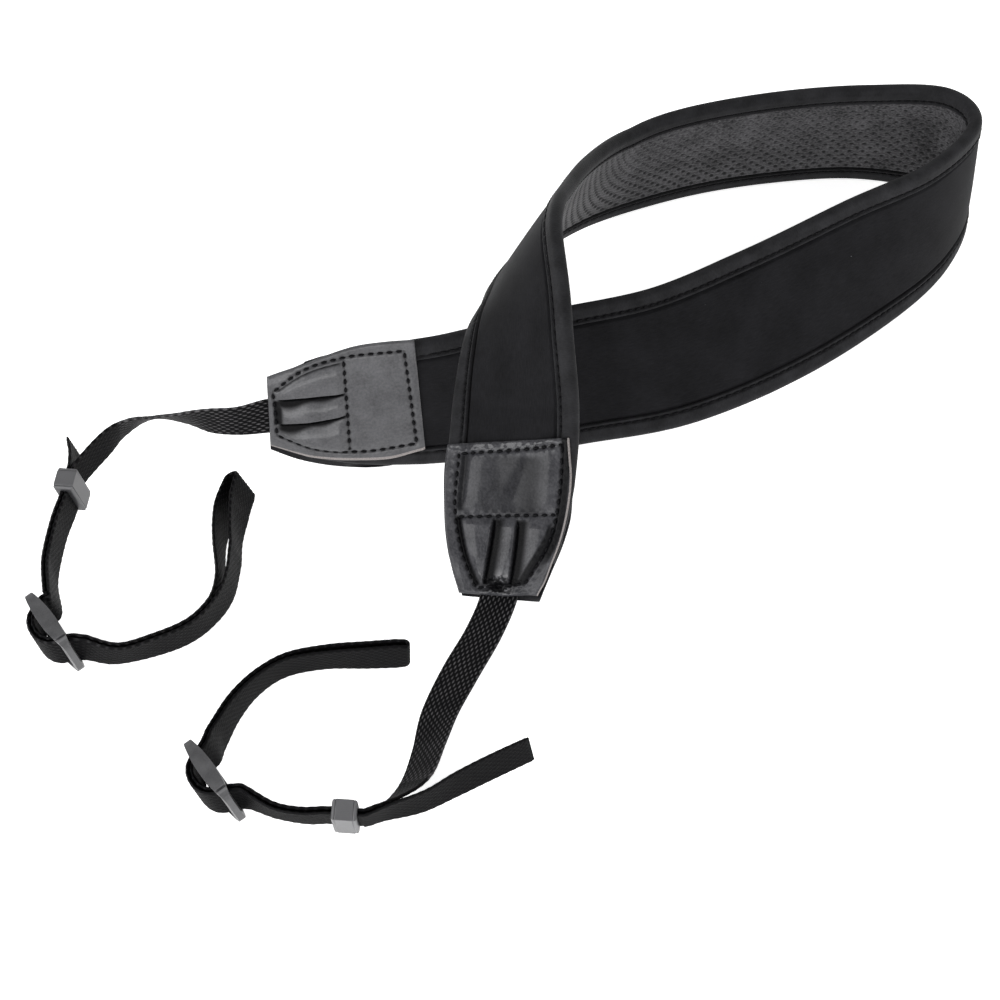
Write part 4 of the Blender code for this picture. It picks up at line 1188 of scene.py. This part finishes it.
def webbing():
    """Black polyester webbing: raised floats paler with a painted highlight, valleys dark with painted
    shade.
    """
    finish = Finish("webbing", Specular_IOR_Level=0.05)
    yarn = finish.noise(3.0, 2.0, (0.6, 3.0, 1.0))
    light = yarn * 0.6 + finish.noise(0.14, 3.0) * 0.4
    floats = finish.shades(light, 0.36, 0.64, (0.020, 0.020, 0.021), (0.135, 0.131, 0.136))
    # painted highlight on the floats' tops and rounded edges, painted shade in the valleys
    raised = finish.ramp(finish.tint(), (0.22, 0.0), (0.85, 1.0))
    colour = finish.mix(raised, (0.0022, 0.0022, 0.0026), floats)
    return finish.feed(Base_Color=colour, Roughness=yarn * 0.2 + 0.42, Normal=finish.bump(yarn, 0.10))


def hardware_knots(spec, reaches):
    """Knots at distances along, out of and up a keeper or slider."""
    along, left, up = hardware_axes(spec)
    return [(np.array(spec["centre"]) + along * a + left * o + up * r, up) for a, o, r in reaches]


def beside(ribbon, places, offset):
    """Knots at lengths along a ribbon, moved out of it."""
    middle, along, across, out = ribbon.frames(np.array(places))
    return list(zip(middle + out * offset, across))


black_webbing = webbing()
column = WEB_WIDTH / COLUMNS
front_girth = np.arange(2 * COLUMNS + 1) * column / 2
girth = np.concatenate((front_girth, front_girth[1:-1] + WEB_WIDTH))
across_u = np.concatenate((front_girth, front_girth[-2:0:-1])) - WEB_WIDTH / 2
face_sign = np.concatenate((np.ones(2 * COLUMNS + 1), -np.ones(2 * COLUMNS - 1)))
past_edge = np.clip((np.abs(across_u) - WEB_WIDTH / 2 + WEB_EDGE) / WEB_EDGE, 0.0, 1.0)
half_thick = WEB_THICK / 2 * np.sqrt(1 - past_edge ** 2)
odd_column = np.floor(girth / column + 0.01) % 2
crest = np.abs(np.sin(np.pi * girth / column))
for end, plan in STRAPS.items():
    side = plan["side"]
    keeper_knots = hardware_knots(KEEPERS[end], [(-KEEPER_RUN, 0, 0), (0, 0, 0), (KEEPER_RUN, 0, 0)])
    arch = hardware_knots(SLIDERS[end], [(a, o * side, r) for a, o, r in SLIDER_ARCH])
    leg = table_knots(plan["leg"], keeper_knots[-1][:1], arch[0][:1])
    pair = Ribbon(keeper_knots + leg + arch + table_knots(plan["loop"], arch[-1][:1]))
    loop_start = pair.length_at_knot(len(keeper_knots) + len(leg) + len(arch) - 1)
    middle, along, across, out = band_frames(end, np.array([WEB_IN_TAB, 0.0]))
    sewn_knots = list(zip(middle + across * SEWN_SHIFTS[end], across))
    first = beside(pair, (0.0, KEEPER_RUN), side * LAYER)
    back = beside(pair, (KEEPER_RUN, 0.0), -side * LAYER)
    feed_knots = sewn_knots + table_knots(plan["feed"], sewn_knots[-1][:1], first[0][:1]) + first
    feed = Ribbon(feed_knots)
    tail = Ribbon(back + table_knots(plan["tail"], back[-1][:1]))

    # one line of frames: the feed, out along the pair, half round the lug loop, back, and the tail
    feed_s = np.arange(0.0, feed.length_at_knot(len(feed_knots) - 2) - STEP / 2, STEP)
    pair_s = np.arange(0.0, pair.length, STEP)
    tail_s = np.append(np.arange(tail.length_at_knot(1), tail.length - STEP / 2, STEP)[1:], tail.length)
    fm, _, fc, fo = feed.frames(feed_s)
    pm, _, pc, po = pair.frames(pair_s)
    tm, _, tc, to = tail.frames(tail_s)
    em, ea, ec, eo = (part[0] for part in pair.frames(np.array([pair.length])))
    loop_share = (np.append(pair_s, pair.length) - loop_start) / (pair.length - loop_start)
    gap = LAYER + np.interp(loop_share, *np.array(plan["spread"]).T)
    shift = po * side * gap[:-1, None]
    turn = np.radians(np.arange(0.0, 181.0, 12.0))[:, None]
    outward = eo * side * np.cos(turn) + ea * np.sin(turn)
    middles = np.concatenate((fm, pm + shift, em + outward * gap[-1], (pm - shift)[::-1], tm))
    acrosses = np.concatenate((fc, pc, np.broadcast_to(ec, outward.shape), pc[::-1], tc))
    outs = np.concatenate((fo, po, outward * side, -po[::-1], to))
    lengths = lengths_along(middles)
    alongs = unit(np.gradient(middles, axis=0))

    to_fold = np.abs(lengths - lengths[len(fm) + len(pm) + len(turn) // 2])
    to_tip = lengths[-1] - lengths
    narrowed = 1 - 0.10 * (1 - swell(to_fold, 0.8, 4.5))
    sealed = 1 - 0.35 * (1 - swell(to_tip, 0.2, 1.2))
    floating = wave(lengths[:, None] / FLOAT_PITCH + 0.5 * odd_column, 1.0)
    weave = -0.17 * (1 - crest) - 0.15 * crest * (1 - floating)
    out_here = face_sign * (half_thick * sealed[:, None] + weave * (1 - past_edge))
    slanting = (1 - swell(to_tip, 0.0, 7.0))[:, None] * plan["slant"]
    slanting = slanting * (across_u + WEB_WIDTH / 2) / WEB_WIDTH
    rings = lay((middles, alongs, acrosses, outs), across_u * narrowed[:, None], out_here)
    rings = rings - alongs[:, None] * slanting[..., None]
    # painted highlight on the floats' tops and rounded edges, only partly kept past the feed and gone at the
    # cut tip
    lightening = np.where(lengths < lengths[len(fm)] - 20.0, 1.0, plan["lightening"])
    tint = np.maximum(crest * floating, 0.75 * past_edge * (0.6 + 0.4 * floating))
    tint = tint * (swell(to_tip, 0.4, 1.4) * lightening)[:, None]
    strap = tube(end + "_woven_strap", rings, lengths, np.append(girth, 2 * WEB_WIDTH), [black_webbing],
                 sharp=70.0, tint=tint)
    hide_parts(end + "_webbing")
    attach(strap, "root")
